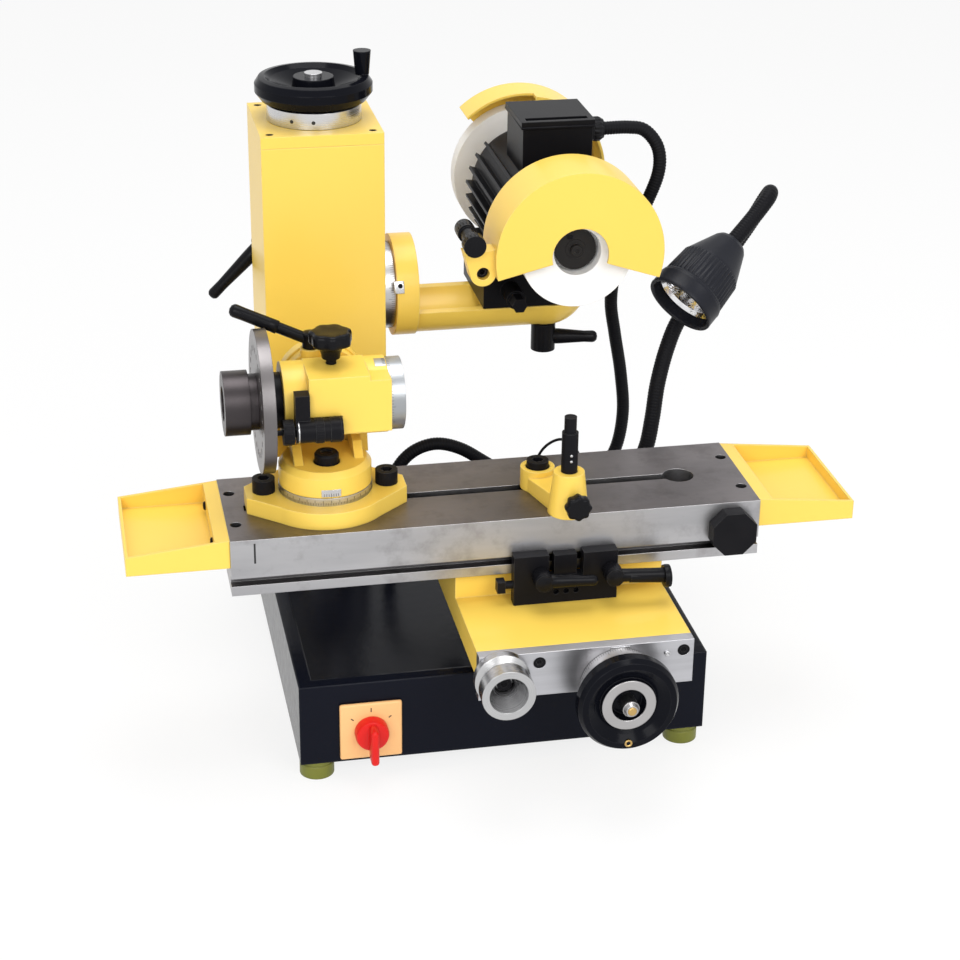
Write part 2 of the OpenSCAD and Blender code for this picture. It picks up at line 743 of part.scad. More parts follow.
module workhead_base() color(yellow) place() translate([head_x, 0, table_top]) difference() {
  end = 13;
  turn = atan2(end, diamond_l) + acos(diamond_r / norm([diamond_l, end]));
  touch = (diamond_r - 0.6) * [cos(turn), sin(turn)];
  linear_extrude(diamond_t) union() {
    circle(diamond_r);
    polygon([
      [diamond_l, end], touch, [-touch[0], touch[1]], [-diamond_l, end],
      [-diamond_l, -end], [-touch[0], -touch[1]], [touch[0], -touch[1]], [diamond_l, -end]]);
  }
  for (x = [-60, 60]) translate([x, 0, -over]) cylinder(r = 5.5, h = diamond_t + 2 * over);
  translate([0, 0, -over]) cylinder(r = 15 + run, h = diamond_t + 2 * over);
}

module turntable_scale() color(steel) place() translate([head_x, 0, table_top + diamond_t]) difference() {
  cylinder(r = ring_r, h = ring_h);
  translate([0, 0, -over]) cylinder(r = 15 + run, h = ring_h + 2 * over);
}

// Clamp bolts: two on the work head and one on the tooth rest
module clamp_bolt(x, y, z) translate([x, y, z]) {
  difference() {
    cylinder(d = bolt_head_d, h = 14);
    translate([0, 0, 8]) cylinder(d = 12, h = 7, $fn = 6);
  }
  translate([0, 0, table_top - slot_neck - z]) cylinder(r = 5, h = z - table_top + slot_neck + over);
  translate([-9, -9, table_top - slot_neck - 7 - z]) cube([18, 18, 6.5]);
}

module clamp_bolts() color(black) place() {
  for (x = [-60, 60]) clamp_bolt(head_x + x, 0, table_top + diamond_t);
  clamp_bolt(rest_right, rest_y + 8, table_top + 15);
}

module workhead_turntable() color(yellow) place() {
  hub_y = house_r + 1;
  difference() {
    union() {
      translate([head_x, 0, turn_z]) cylinder(r = ring_r - 0.5, h = turn_h - 6);
      translate([head_x, 0, turn_top - 6]) cylinder(r1 = ring_r - 0.5, r2 = ring_r - 5, h = 6);
      translate([head_x, 0, table_top + gap]) cylinder(r = 15, h = turn_z - table_top);
      bar_y(tilt_x, spindle_z, hub_y, hub_y + 12, 42);
      plate_xz(hub_y, hub_y + 12) polygon([
        [head_x - 48, turn_z + 9], [head_x + 48, turn_z + 9], [tilt_x + 42, spindle_z],
        [tilt_x - 42, spindle_z]]);
      for (web = [[head_x - 32, -24], [head_x + 27, -15]])
        plate_yz(web[0], web[0] + 9) polygon([
          [web[1], turn_top - 2], [hub_y + 2, turn_top - 2], [hub_y + 2, turn_top + 20], [0, turn_top + 13]]);
    }
    bar_y(tilt_x, spindle_z, hub_y - over, hub_y + 13, pivot_r + run);
    translate([head_x, -14, turn_top - 9]) cylinder(r = 13, h = 30);
  }
  translate([head_x, -14, turn_top - 9]) cylinder(r = 11, h = 17);
}

module spindle_housing() color(yellow) place() difference() {
  union() {
    bar_x(0, spindle_z, house_x, house_end, house_r);
    block([house_x + 22, -44, spindle_z - 20], [house_end, 0, spindle_z + 32]);
    block([house_x + 22, -44, spindle_z + 5], [house_end - 20, 10, spindle_z + house_r]);
    bar_y(tilt_x, spindle_z, house_r - 12, house_r + 1 - gap, 40);
    bar_y(tilt_x, spindle_z, house_r - 5, house_r + 12, pivot_r);
    translate([lever_x, lever_y, spindle_z + 10]) cylinder(r = 10, h = lever_rise - 10);
  }
  bar_x(0, spindle_z, house_x - over, house_end + over, spindle_r + run);
  bar_x(plunger_y, plunger_z, house_x + 21, house_x + 53, 12 + gap);
  translate([star_x, star_y, spindle_z + 30]) cylinder(r = 5 + run, h = 30);
  translate([lever_x, lever_y, spindle_z + lever_rise - 10]) cylinder(r = 5 + run, h = 30);
}

lever_x = head_x - 8;
lever_y = 27;
lever_rise = 41;
star_x = head_x + 7;
star_y = -6;

// Black ring behind the index plate, and the bracket and barrel that carry the plunger
module index_bracket() color(black) place() difference() {
  union() {
    bar_x(0, spindle_z, house_x - 10, house_x, 27);
    block([house_x + 8, plunger_y - 2, plunger_z - 8], [house_x + 22 - gap, -house_r - gap, spindle_z + 24]);
    bar_x(plunger_y, plunger_z, house_x + 8, house_x + 52, 11);
    bar_x(plunger_y, plunger_z, house_x + 26, house_x + 34, 12);
    bar_x(plunger_y, plunger_z, house_x + 40, house_x + 50, 12);
  }
  bar_x(0, spindle_z, house_x - 11, house_x + over, spindle_r + 0.2);
  bar_x(plunger_y, plunger_z, house_x, house_x + 53, 5 + run);
}

module index_plunger() color(black) place() {
  tip = index_x + index_t + 0.5;
  bar_x(plunger_y, plunger_z, tip, house_x - 4, 2.7);
  bar_x(plunger_y, plunger_z, house_x - 4, house_x + 6, 12);
  bar_x(plunger_y, plunger_z, house_x + 5, house_x + 50, 5);
}

module work_spindle() color(steel) place() difference() {
  bar_x(0, spindle_z, index_x - 8, house_end + work_dial_l + 1, spindle_r);
  bar_x(0, spindle_z, index_x - 9, house_end + work_dial_l + 2, collet_r);
}

module index_plate() color(iron) place() difference() {
  bar_x(0, spindle_z, index_x, index_x + index_t, index_r);
  bar_x(0, spindle_z, index_x - over, index_x + index_t + over, spindle_r);
  for (k = [0:index_holes - 1]) {
    a = index_phase + 360 * k / index_holes;
    bar_x(
      index_circle * cos(a), spindle_z + index_circle * sin(a), index_x - over, index_x + index_t + over, 3);
  }
}

module draw_knob() color("#4a4547") place() difference() {
  union() {
    bar_x(0, spindle_z, index_x - 32, index_x - 8, draw_r);
    bar_x(0, spindle_z, index_x - 8 - over, index_x, spindle_r + 5);
  }
  bar_x(0, spindle_z, index_x - 8, index_x + over, spindle_r);
  bar_x(0, spindle_z, index_x - 33, index_x - 22, 17);
  bar_x(0, spindle_z, index_x - 33, index_x, 6);
}

module work_dial() color(steel) place() difference() {
  bar_x(0, spindle_z, house_end + gap, house_end + work_dial_l, work_dial_r);
  bar_x(0, spindle_z, house_end, house_end + work_dial_l + 1, spindle_r);
}

// Lobed knob with its stem, pointing up
module star_knob(r, h, lobes) {
  difference() {
    cylinder(r = r, h = h);
    for (k = [0:lobes - 1])
      rotate(360 * (k + 0.5) / lobes) translate([r + 2.5, 0, -over]) cylinder(r = 5, h = h + 2 * over);
  }
}

module tilt_knob() color(black) place() translate([star_x, star_y, spindle_z + house_r + gap]) {
  translate([0, 0, -7]) cylinder(r = 5, h = 13);
  translate([0, 0, 5]) cylinder(r1 = 9, r2 = 14, h = 14);
  translate([0, 0, 18]) star_knob(star_r, 14, 7);
}

module spindle_lever() color(black) place() {
  z = spindle_z + lever_rise + gap;
  translate([lever_x, lever_y, z]) cylinder(r = 8, h = 14);
  translate([lever_x, lever_y, z - 9]) cylinder(r = 5, h = 10);
  rod([lever_x, lever_y, z + 7], [lever_x - 71, lever_y + 16, z + 36], 5.5, 5.5);
}

// Tooth rest

module tooth_rest_bracket() color(yellow) place() difference() {
  y = rest_y + 8;
  union() {
    translate([rest_right, y, table_top]) cylinder(r = 17, h = 22);
    hull() {
      translate([rest_right, y, table_top]) cylinder(r = 15, h = 14, $fn = 32);
      translate([boss_x, boss_y, table_top]) cylinder(r = 15, h = 18, $fn = 32);
    }
    translate([boss_x, boss_y, table_top]) cylinder(r1 = boss_r, r2 = boss_r - 5, h = boss_h);
  }
  translate([boss_x, boss_y, table_top + 6]) cylinder(r = post_d / 2 + run, h = boss_h);
  translate([rest_right, y, table_top - over]) cylinder(r = 5.5, h = 30);
  translate([rest_right, y, table_top + 15]) cylinder(r = bolt_head_d / 2 + 1, h = 20);
  bar_y(boss_x + 3, table_top + 17, boss_y - 40, boss_y, 4 + run);
}

module tooth_rest_post() color(black) place() translate([boss_x, boss_y, 0]) difference() {
  union() {
    translate([0, 0, table_top + 26]) cylinder(d = post_d, h = 58);
    translate([0, 0, table_top + 83]) cylinder(d = post_d - 4, h = 17);
  }
  for (z = [56, 62]) translate([0, 0, table_top + z]) rotate([90, 0, 0]) cylinder(r = 1.5, h = post_d);
}

module tooth_rest_knob() color(black) place() {
  y = boss_y - boss_r + 1;
  bar_y(boss_x + 3, table_top + 17, y - 4, boss_y - post_d / 2 - 2, 4);
  translate([boss_x + 3, y - 3, table_top + 17]) rotate([90, 0, 0]) star_knob(13, 12, 8);
}

// Column

module column_sleeve() color(yellow) place() difference() {
  x = col_w / 2;
  y = col_d / 2;
  translate([col_x, col_back, 0]) block([-x, -y, sleeve_z], [x, y, cap_z]);
  for (z = [[sleeve_z + 25, sleeve_z + 75], [sleeve_z + 100, cap_z + over]])
    translate([col_x, col_back, 0])
      block([sleeve_wall - x, sleeve_wall - y, z[0]], [x - sleeve_wall, y - sleeve_wall, z[1]]);
  translate([col_x, col_back, sleeve_z - over]) cylinder(d = round_post_d + 2 * run, h = sleeve_h);
  bar_y(lock_x, lock_z, col_back + y - 8, col_back + y + over, 5 + run);
}

lock_x = col_x - 48;
lock_z = arm_z + 26;

module column_cap() color(yellow) place() translate([col_x, col_back, cap_z]) difference() {
  block([-col_w / 2, -col_d / 2, 0], [col_w / 2, col_d / 2, cap_t]);
  translate([0, 0, -over]) cylinder(d = lift_screw_d + 2 * run, h = cap_t + 2 * over);
  for (p = cap_corners) translate([p[0], p[1], cap_t - 6]) cylinder(d = 8, h = 7);
}

cap_corners = [for (x = [-1, 1], y = [-1, 1]) [x * (col_w / 2 - 10), y * (col_d / 2 - 10)]];

module cap_screws() color(black) place() translate([col_x, col_back, cap_z + cap_t - 6])
  for (p = cap_corners) translate([p[0], p[1], 0]) difference() {
    cylinder(d = 8, h = 5.5);
    translate([0, 0, 3]) cylinder(d = 4.6, h = 4, $fn = 6);
  }

// Lift screw in one piece with its graduated dial
module lift_screw() color(steel) place() translate([col_x, col_back, 0]) {
  translate([0, 0, sleeve_z + 95]) cylinder(d = lift_screw_d, h = dial_z - sleeve_z - 95 + lift_dial_h + 30);
  translate([0, 0, dial_z + gap]) cylinder(d = lift_dial_d, h = lift_dial_h);
}

module lift_handwheel() color(black) place() translate([col_x, col_back, dial_z + gap + lift_dial_h]) {
  r = lift_wheel_d / 2;
  rotate_extrude() polygon([
    [lift_screw_d / 2, 0], [r - 16, 0], [r - 6, 4], [r, 12], [r, 20], [r - 4, 26], [r - 10, 27], [r - 15, 23],
    [22, 14], [20, 26], [lift_screw_d / 2, 26]]);
  translate([r - 10, 0, 26]) cylinder(r1 = 7, r2 = 9, h = 24);
}

// Clamp lever with its hub and tapered handle
module column_lever() color(black) place() {
  y = col_back + col_d / 2;
  bar_y(lock_x, lock_z, y + gap, y + 22, 11);
  bar_y(lock_x, lock_z, y - 7, y + over, 5);
  rod([lock_x, y + 14, lock_z], [lock_x - 55, y + 16, lock_z - 56], 7, 5.5);
}

// Wheel head

module arm_scale() color(steel) place() difference() {
  bar_x(col_back, arm_z, col_face, col_face + arm_ring_l, neck_r);
  bar_x(col_back, arm_z, col_face - over, col_face + arm_ring_l + over, 20 + run);
}

module arm_casting() color(yellow) place() difference() {
  neck_z = arm_z - flange_r + neck_r + 1.5;
  union() {
    bar_x(col_back, arm_z, flange_x, flange_x + 23, flange_r);
    bar_x(col_back, arm_z, flange_x - arm_ring_l, flange_x + over, 20);
    difference() {
      bar_x(col_back, neck_z, flange_x + 10, motor_right, neck_r);
      bar_x(col_back, platform_z + 22, flange_x + 23, motor_right, 40);
      block([flange_x + 23, col_back - 60, platform_z], [motor_right + 60, col_back + 60, arm_z + 60]);
    }
    difference() {
      translate([motor_right, col_back, neck_z]) sphere(r = neck_r + 1);
      block([motor_right - 60, col_back - 60, platform_z], [motor_right + 60, col_back + 60, neck_z + 60]);
    }
  }
  translate([motor_right, col_back, platform_z - 60]) cylinder(r = pivot_r + run, h = 80);
}

module arm_lever() color(black) place() translate([motor_right, col_back, 0]) {
  top = arm_z - flange_r + 0.5 - gap;
  translate([0, 0, top - 30]) cylinder(r = 13, h = 30);
  translate([0, 0, top - over]) cylinder(r = pivot_r, h = 11);
  rod([0, 0, top - 16], [54, -8, top - 17], 7.5, 5.5);
}

module motor_body() color(black) place() difference() {
  foot_z = platform_z + gap;
  union() {
    bar_y(motor_right, motor_z, motor_y + 12, motor_end - 12, motor_r);
    bar_y(motor_right, motor_z, motor_y, motor_end, motor_r - 3);
    bar_y(motor_right, motor_z, guard_back - guard_wall - 2, motor_y + over, nose_r);
    for (k = [0:27]) {
      a = 360 * (k + 0.5) / 28;
      if (sin(a) < 0.8 && sin(a) > -0.8)
        translate([motor_right, motor_y + 18, motor_z]) rotate([0, -a, 0])
          translate([motor_r - 3, 0, -1.5]) cube([fin_h + 3, motor_end - motor_y - 36, 3]);
    }
    block([motor_right - 74, col_back - 42, foot_z], [motor_right + 36, col_back + 66, motor_z - 40]);
    translate([motor_right, col_back, foot_z - 20]) cylinder(r = pivot_r, h = 30);
    translate([motor_right - 46, col_back - 90, foot_z + 19]) rotate([-90, 0, 0])
      cylinder(r = 8, h = 20, $fn = 6);
    bar_y(motor_right - 46, foot_z + 19, col_back - 72, col_back - 40, 10);
  }
  bar_y(motor_right, motor_z, guard_back - 30, rear_wheel_y + 2, shaft_r + run);
}

module terminal_box() color(black) place() {
  w = box_w / 2;
  top = motor_z + box_h;
  difference() {
    union() {
      block([motor_right - w, motor_y + 40, motor_z + 40], [motor_right + w, motor_y + 40 + box_l, top]);
      block(
        [motor_right - w - 2, motor_y + 38, top],
        [motor_right + w + 2, motor_y + 42 + box_l, top + box_lid]);
      rod([motor_right + w - 1, gland_y, gland_z], [gland_x, gland_y, gland_z], 11, 10);
    }
    bar_y(motor_right, motor_z, motor_y - 35, motor_end + 2, motor_r);
    block(
      [motor_right - w + 4, motor_y + 44, top + 3],
      [motor_right + w - 4, motor_y + 53, top + box_lid + 1]);
  }
}

// Front guard with its ear on the left, open at the bottom
module front_guard() color(yellow) place() translate([motor_right, 0, motor_z]) {
  difference() {
    plate_xz(guard_y, guard_back) circle(guard_r);
    plate_xz(guard_y + guard_wall, guard_back - guard_wall) circle(guard_r - guard_wall);
    plate_xz(guard_y - over, guard_y + guard_wall + over) circle(28.5);
    plate_xz(guard_back - guard_wall - over, guard_back + over) circle(nose_r + run);
    plate_xz(guard_y - over, guard_back + over) slice(2 * guard_r, guard_open_from, guard_open_to);
  }
  plate_xz(73, 93) difference() {
    union() {
      translate([-96, -15]) circle(13);
      polygon([[1 - guard_r, -20], [-96, -28], [-109, -16], [-115, 6], [1 - guard_r, 9]]);
    }
    translate([-96, -15]) circle(6.4);
  }
  plate_xz(73, 78) difference() {
    union() {
      translate([-107, 18]) circle(8.5);
      translate([-115.5, 4]) square([17, 14]);
    }
    translate([-107, 18]) circle(5);
  }
}

module guard_knobs() color(black) place() translate([motor_right - 107, 0, motor_z + 18]) {
  bar_y(0, 0, 62, 116, 5);
  bar_y(0, 0, 59, 73, 11);
  bar_y(0, 0, 78, 99, 7.5);
  bar_y(0, 0, 99, 118, 9.5);
}

// Rear guard: hood over the rear wheel, held by a lug on the motor end
module rear_guard() color(yellow) place() translate([motor_right, 0, motor_z]) {
  r = rear_wheel_r + 17;
  difference() {
    plate_xz(motor_end + 14, rear_guard_back) intersection() {
      circle(r);
      slice(2 * r, -5, 133);
    }
    plate_xz(motor_end, rear_guard_back - guard_wall) circle(r - guard_wall);
    plate_xz(motor_end, rear_guard_back + over) circle(36);
  }
  difference() {
    plate_xz(motor_end, motor_end + 15) intersection() {
      circle(r);
      slice(2 * r, 48, 84);
    }
    plate_xz(motor_end + guard_wall, motor_end + 16) circle(r - guard_wall);
    plate_xz(motor_end - over, motor_end + 16) circle(36);
  }
}

module motor_shaft() color(steel) place() {
  bar_y(motor_right, motor_z, front_wheel_y + 9, rear_wheel_y + rear_wheel_w + 14, shaft_r);
}

module front_wheel() color(white) place() difference() {
  bar_y(motor_right, motor_z, front_wheel_y, front_wheel_y + front_wheel_w, front_wheel_r);
  bar_y(motor_right, motor_z, front_wheel_y - over, front_wheel_y + 18, 24);
  bar_y(motor_right, motor_z, front_wheel_y, front_wheel_y + front_wheel_w + over, shaft_r);
}

module rear_wheel() color(white) place() difference() {
  bar_y(motor_right, motor_z, rear_wheel_y, rear_wheel_y + rear_wheel_w, rear_wheel_r);
  bar_y(motor_right, motor_z, rear_wheel_y - over, rear_wheel_y + rear_wheel_w + over, shaft_r);
}

module wheel_flanges() color(black) place() {
  inner = front_wheel_y + front_wheel_w;
  outer = rear_wheel_y + rear_wheel_w;
  for (s = [[front_wheel_y + 9, front_wheel_y + 18, 21], [inner, inner + 8, 21],
      [rear_wheel_y - 8, rear_wheel_y, 30], [outer, outer + 9, 30]])
    difference() {
      bar_y(motor_right, motor_z, s[0], s[1], s[2]);
      bar_y(motor_right, motor_z, s[0] - over, s[1] + over, shaft_r);
    }
}

// Lamp

module gooseneck() color("#16171a") place()
  hose(gooseneck_route, neck_ribs, neck_d / 2, neck_d / 2 - 1, neck_d / 2 - 3, neck_side);

// Stands the lamp on its back with its mouth along the aim
module lamp_place() {
  v = lamp_aim / norm(lamp_aim);
  translate(lamp_back) rotate([0, acos(v[2]), atan2(v[1], v[0])]) children();
}

module lamp_head() color(black) place() lamp_place() rotate_extrude() polygon([
  [0, 0], [12, 0], [16, 2], [19, 6], [lamp_mouth_r - 5, 37], [lamp_mouth_r - 4, 40],
  [lamp_mouth_r - 2, lamp_l - 22],
  [lamp_mouth_r, lamp_l - 19], [lamp_mouth_r, lamp_l], [lamp_mouth_r - 3, lamp_l],
  [lamp_mouth_r - 3, lamp_l - 14], [20, 24], [14, 12], [0, 12]]);

module lamp_reflector() color(steel) place() lamp_place() rotate_extrude() polygon([
  [0, 24.2], [19.5, 24.2], [lamp_mouth_r - 5, lamp_l - 16], [lamp_mouth_r - 3, lamp_l - 13],
  [lamp_mouth_r - 4, lamp_l - 12], [lamp_mouth_r - 7, lamp_l - 16], [18, 28], [8, 30], [6, 34], [0, 35]]);

base_casting();
rubber_feet();
column_post();
switch_plate();
base_fittings();
conduit();
lamp_lead();
saddle();
front_plate();
plate_screws();
stop_block();
cross_screw();
cross_handwheel();
cross_dial();
traverse_drive();
table();
table_rack();
left_tray();
right_tray();
workhead_base();
clamp_bolts();
tooth_rest_bracket();
stop_dog();
tooth_rest_post();
tooth_rest_knob();
workhead_turntable();
turntable_scale();
spindle_housing();
index_bracket();
work_spindle();
index_plate();
draw_knob();
work_dial();
index_plunger();
tilt_knob();
spindle_lever();
left_stop_lever();
right_stop_lever();
switch_knob();
gooseneck();
lamp_head();
lamp_reflector();
column_sleeve();
column_cap();
cap_screws();
lift_screw();
lift_handwheel();
column_lever();
arm_casting();
arm_scale();
arm_lever();
motor_body();
terminal_box();
rear_guard();
front_guard();
guard_knobs();
motor_shaft();
front_wheel();
rear_wheel();
wheel_flanges();
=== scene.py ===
from math import cos, pi, radians, sin

import bmesh
import bpy
from mathutils import Matrix, Vector


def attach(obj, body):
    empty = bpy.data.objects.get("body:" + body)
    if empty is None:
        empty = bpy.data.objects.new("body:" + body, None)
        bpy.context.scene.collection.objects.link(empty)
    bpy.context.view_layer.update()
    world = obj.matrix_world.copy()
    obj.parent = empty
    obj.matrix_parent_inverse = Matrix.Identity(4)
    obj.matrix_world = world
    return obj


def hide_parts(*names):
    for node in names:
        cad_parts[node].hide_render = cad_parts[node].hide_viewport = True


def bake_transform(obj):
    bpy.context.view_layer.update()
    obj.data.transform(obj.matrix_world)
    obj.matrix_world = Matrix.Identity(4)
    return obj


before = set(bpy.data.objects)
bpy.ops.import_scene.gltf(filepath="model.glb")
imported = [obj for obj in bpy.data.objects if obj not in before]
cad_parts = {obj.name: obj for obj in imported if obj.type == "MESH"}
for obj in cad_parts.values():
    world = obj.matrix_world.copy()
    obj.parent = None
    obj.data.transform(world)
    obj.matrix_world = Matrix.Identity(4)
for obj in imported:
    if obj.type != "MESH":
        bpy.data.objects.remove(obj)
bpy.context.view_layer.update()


# The camera stands a little to the left of the operator and looks down on the table.
# Lens and place are those of the studio picture, for a square frame.
eye = bpy.data.cameras.new("eye")
eye.sensor_width = 36
eye.lens = 83.06
eye.clip_end = 60
camera = bpy.data.objects.new("eye", eye)
bpy.context.scene.collection.objects.link(camera)
turn_right, look_down, lean = 0.2026636, 0.4396091, 0.0121753  # radians
ahead = Vector((sin(turn_right) * cos(look_down), cos(turn_right) * cos(look_down), -sin(look_down)))
right = Vector((cos(turn_right), -sin(turn_right), 0))
up = right.cross(ahead)
right, up = cos(lean) * right + sin(lean) * up, cos(lean) * up - sin(lean) * right
camera.matrix_world = Matrix((right, up, -ahead)).transposed().to_4x4()
camera.location = (-0.40413, -2.00615, 1.18958)
bpy.context.scene.camera = camera
bpy.context.scene.view_settings.view_transform = "Standard"


# White photo studio: a pale seamless floor, a large soft box in front, a smaller one on the
# left and one overhead. The floor and the room read white, and the floor keeps a soft shadow.
def soft_box(name, place, aim, size, watts):
    lamp = bpy.data.lights.new(name, "AREA")
    lamp.shape = "SQUARE"
    lamp.size = size
    lamp.energy = watts
    holder = bpy.data.objects.new(name, lamp)
    bpy.context.scene.collection.objects.link(holder)
    holder.location = place
    holder.rotation_euler = (Vector(aim) - Vector(place)).to_track_quat("-Z", "Y").to_euler()


soft_box("front_soft_box", (0.9, -2.6, 1.9), (0, 0, 0.3), 1.5, 32)
soft_box("left_soft_box", (-1.3, -2.3, 1.6), (0, 0.1, 0.4), 1.4, 26)
soft_box("overhead_soft_box", (0.1, 0.3, 2.9), (0, 0.05, 0.2), 1.6, 36)


def seen_white(tree):
    path = tree.nodes.new("ShaderNodeLightPath")
    first = tree.nodes.new("ShaderNodeMath")
    both = tree.nodes.new("ShaderNodeMath")
    first.operation = both.operation = "MAXIMUM"
    tree.links.new(path.outputs["Is Camera Ray"], first.inputs[0])
    tree.links.new(path.outputs["Is Glossy Ray"], first.inputs[1])
    tree.links.new(first.outputs[0], both.inputs[0])
    tree.links.new(path.outputs["Is Transmission Ray"], both.inputs[1])
    return both.outputs[0]


room = bpy.data.worlds.new("white_room")
bpy.context.scene.world = room
room.use_nodes = True
glow = room.node_tree.nodes["Background"]
glow.inputs["Strength"].default_value = 0.6
bright = room.node_tree.nodes.new("ShaderNodeBackground")
bright.inputs["Color"].default_value = (1, 1, 1, 1)
glow.inputs["Color"].default_value = (1, 1, 1, 1)
pick = room.node_tree.nodes.new("ShaderNodeMixShader")
room.node_tree.links.new(seen_white(room.node_tree), pick.inputs[0])
room.node_tree.links.new(glow.outputs[0], pick.inputs[1])
room.node_tree.links.new(bright.outputs[0], pick.inputs[2])
room.node_tree.links.new(pick.outputs[0], room.node_tree.nodes["World Output"].inputs["Surface"])

paper = bpy.data.meshes.new("paper_floor")
paper.from_pydata([(-9, -9, 0), (9, -9, 0), (9, 9, 0), (-9, 9, 0)], [], [(0, 1, 2, 3)])
paper_floor = bpy.data.objects.new("paper_floor", paper)
bpy.context.scene.collection.objects.link(paper_floor)
white_paper = bpy.data.materials.new("white_paper")
white_paper.use_nodes = True
tree = white_paper.node_tree
tree.nodes["Principled BSDF"].inputs["Base Color"].default_value = (0.94, 0.94, 0.94, 1)
tree.nodes["Principled BSDF"].inputs["Roughness"].default_value = 0.9
tree.nodes["Principled BSDF"].inputs["Specular IOR Level"].default_value = 0.1
white_glow = 0.82  # share of plain white; the rest shows the floor's own shading
lit = tree.nodes.new("ShaderNodeEmission")
share = tree.nodes.new("ShaderNodeMath")
share.operation = "MULTIPLY"
share.inputs[1].default_value = white_glow
pick = tree.nodes.new("ShaderNodeMixShader")
tree.links.new(seen_white(tree), share.inputs[0])
tree.links.new(share.outputs[0], pick.inputs[0])
tree.links.new(tree.nodes["Principled BSDF"].outputs[0], pick.inputs[1])
tree.links.new(lit.outputs[0], pick.inputs[2])
tree.links.new(pick.outputs[0], tree.nodes["Material Output"].inputs["Surface"])
paper.materials.append(white_paper)


# Motor conduit: black corrugated plastic hose from the gland on the base to the terminal box.
# It arches up behind the table, dips to the deck and climbs past the arm, in three lengths end to end,
# each lying across one joint of the wheel head.
table_line = 0.0725  # places are given from the table's middle, this far in front of the machine's


def here(x, y, z):
    return Vector((x, y - table_line, z))


def smooth_run(points, step):
    pts = [here(*p) for p in points]
    fine, parts = [], 24
    for i in range(len(pts) - 1):
        a, b, c, d = pts[max(i - 1, 0)], pts[i], pts[i + 1], pts[min(i + 2, len(pts) - 1)]
        for k in range(parts):
            t = k / parts
            fine.append(0.5 * (2 * b + (c - a) * t + (2 * a - 5 * b + 4 * c - d) * t * t
                               + (3 * b - a - 3 * c + d) * t ** 3))
    fine.append(pts[-1])
    run = [0.0]
    for p, q in zip(fine, fine[1:]):
        run.append(run[-1] + (q - p).length)
    count = round(run[-1] / step)
    even, i = [], 0
    for k in range(count + 1):
        s = run[-1] * k / count
        while i < len(run) - 2 and run[i + 1] < s:
            i += 1
        even.append(fine[i].lerp(fine[i + 1], (s - run[i]) / (run[i + 1] - run[i])))
    return even


def nearest(line, point):
    return min(range(len(line)), key=lambda i: (line[i] - point).length)


def rings_along(line, radii, sides):
    side = Vector((0, 1, 0))
    rings = []
    for i, p in enumerate(line):
        go = (line[min(i + 1, len(line) - 1)] - line[max(i - 1, 0)]).normalized()
        side = (side - go * side.dot(go)).normalized()
        across = go.cross(side)
        rings.append([p + radii[i] * (cos(2 * pi * k / sides) * side + sin(2 * pi * k / sides) * across)
                      for k in range(sides)])
    return rings


def make(name, points, faces, finish, body=None, crease=35):
    mesh = bpy.data.meshes.new(name)
    mesh.from_pydata(points, [], faces)
    tidy = bmesh.new()
    tidy.from_mesh(mesh)
    bmesh.ops.remove_doubles(tidy, verts=tidy.verts, dist=1e-7)
    bmesh.ops.recalc_face_normals(tidy, faces=tidy.faces)
    tidy.to_mesh(mesh)
    tidy.free()
    mesh.shade_smooth()
    mesh.set_sharp_from_angle(angle=radians(crease))
    mesh.materials.append(finish)
    piece = bpy.data.objects.new(name, mesh)
    bpy.context.scene.collection.objects.link(piece)
    if body:
        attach(piece, body)
    return piece


def tube(name, rings, finish, body=None):
    sides = len(rings[0])
    faces = [(i * sides + k, i * sides + (k + 1) % sides, (i + 1) * sides + (k + 1) % sides,
              (i + 1) * sides + k)
             for i in range(len(rings) - 1) for k in range(sides)]
    faces += [tuple(range(sides))[::-1], tuple(range((len(rings) - 1) * sides, len(rings) * sides))]
    return make(name, [p for r in rings for p in r], faces, finish, body, crease=70)


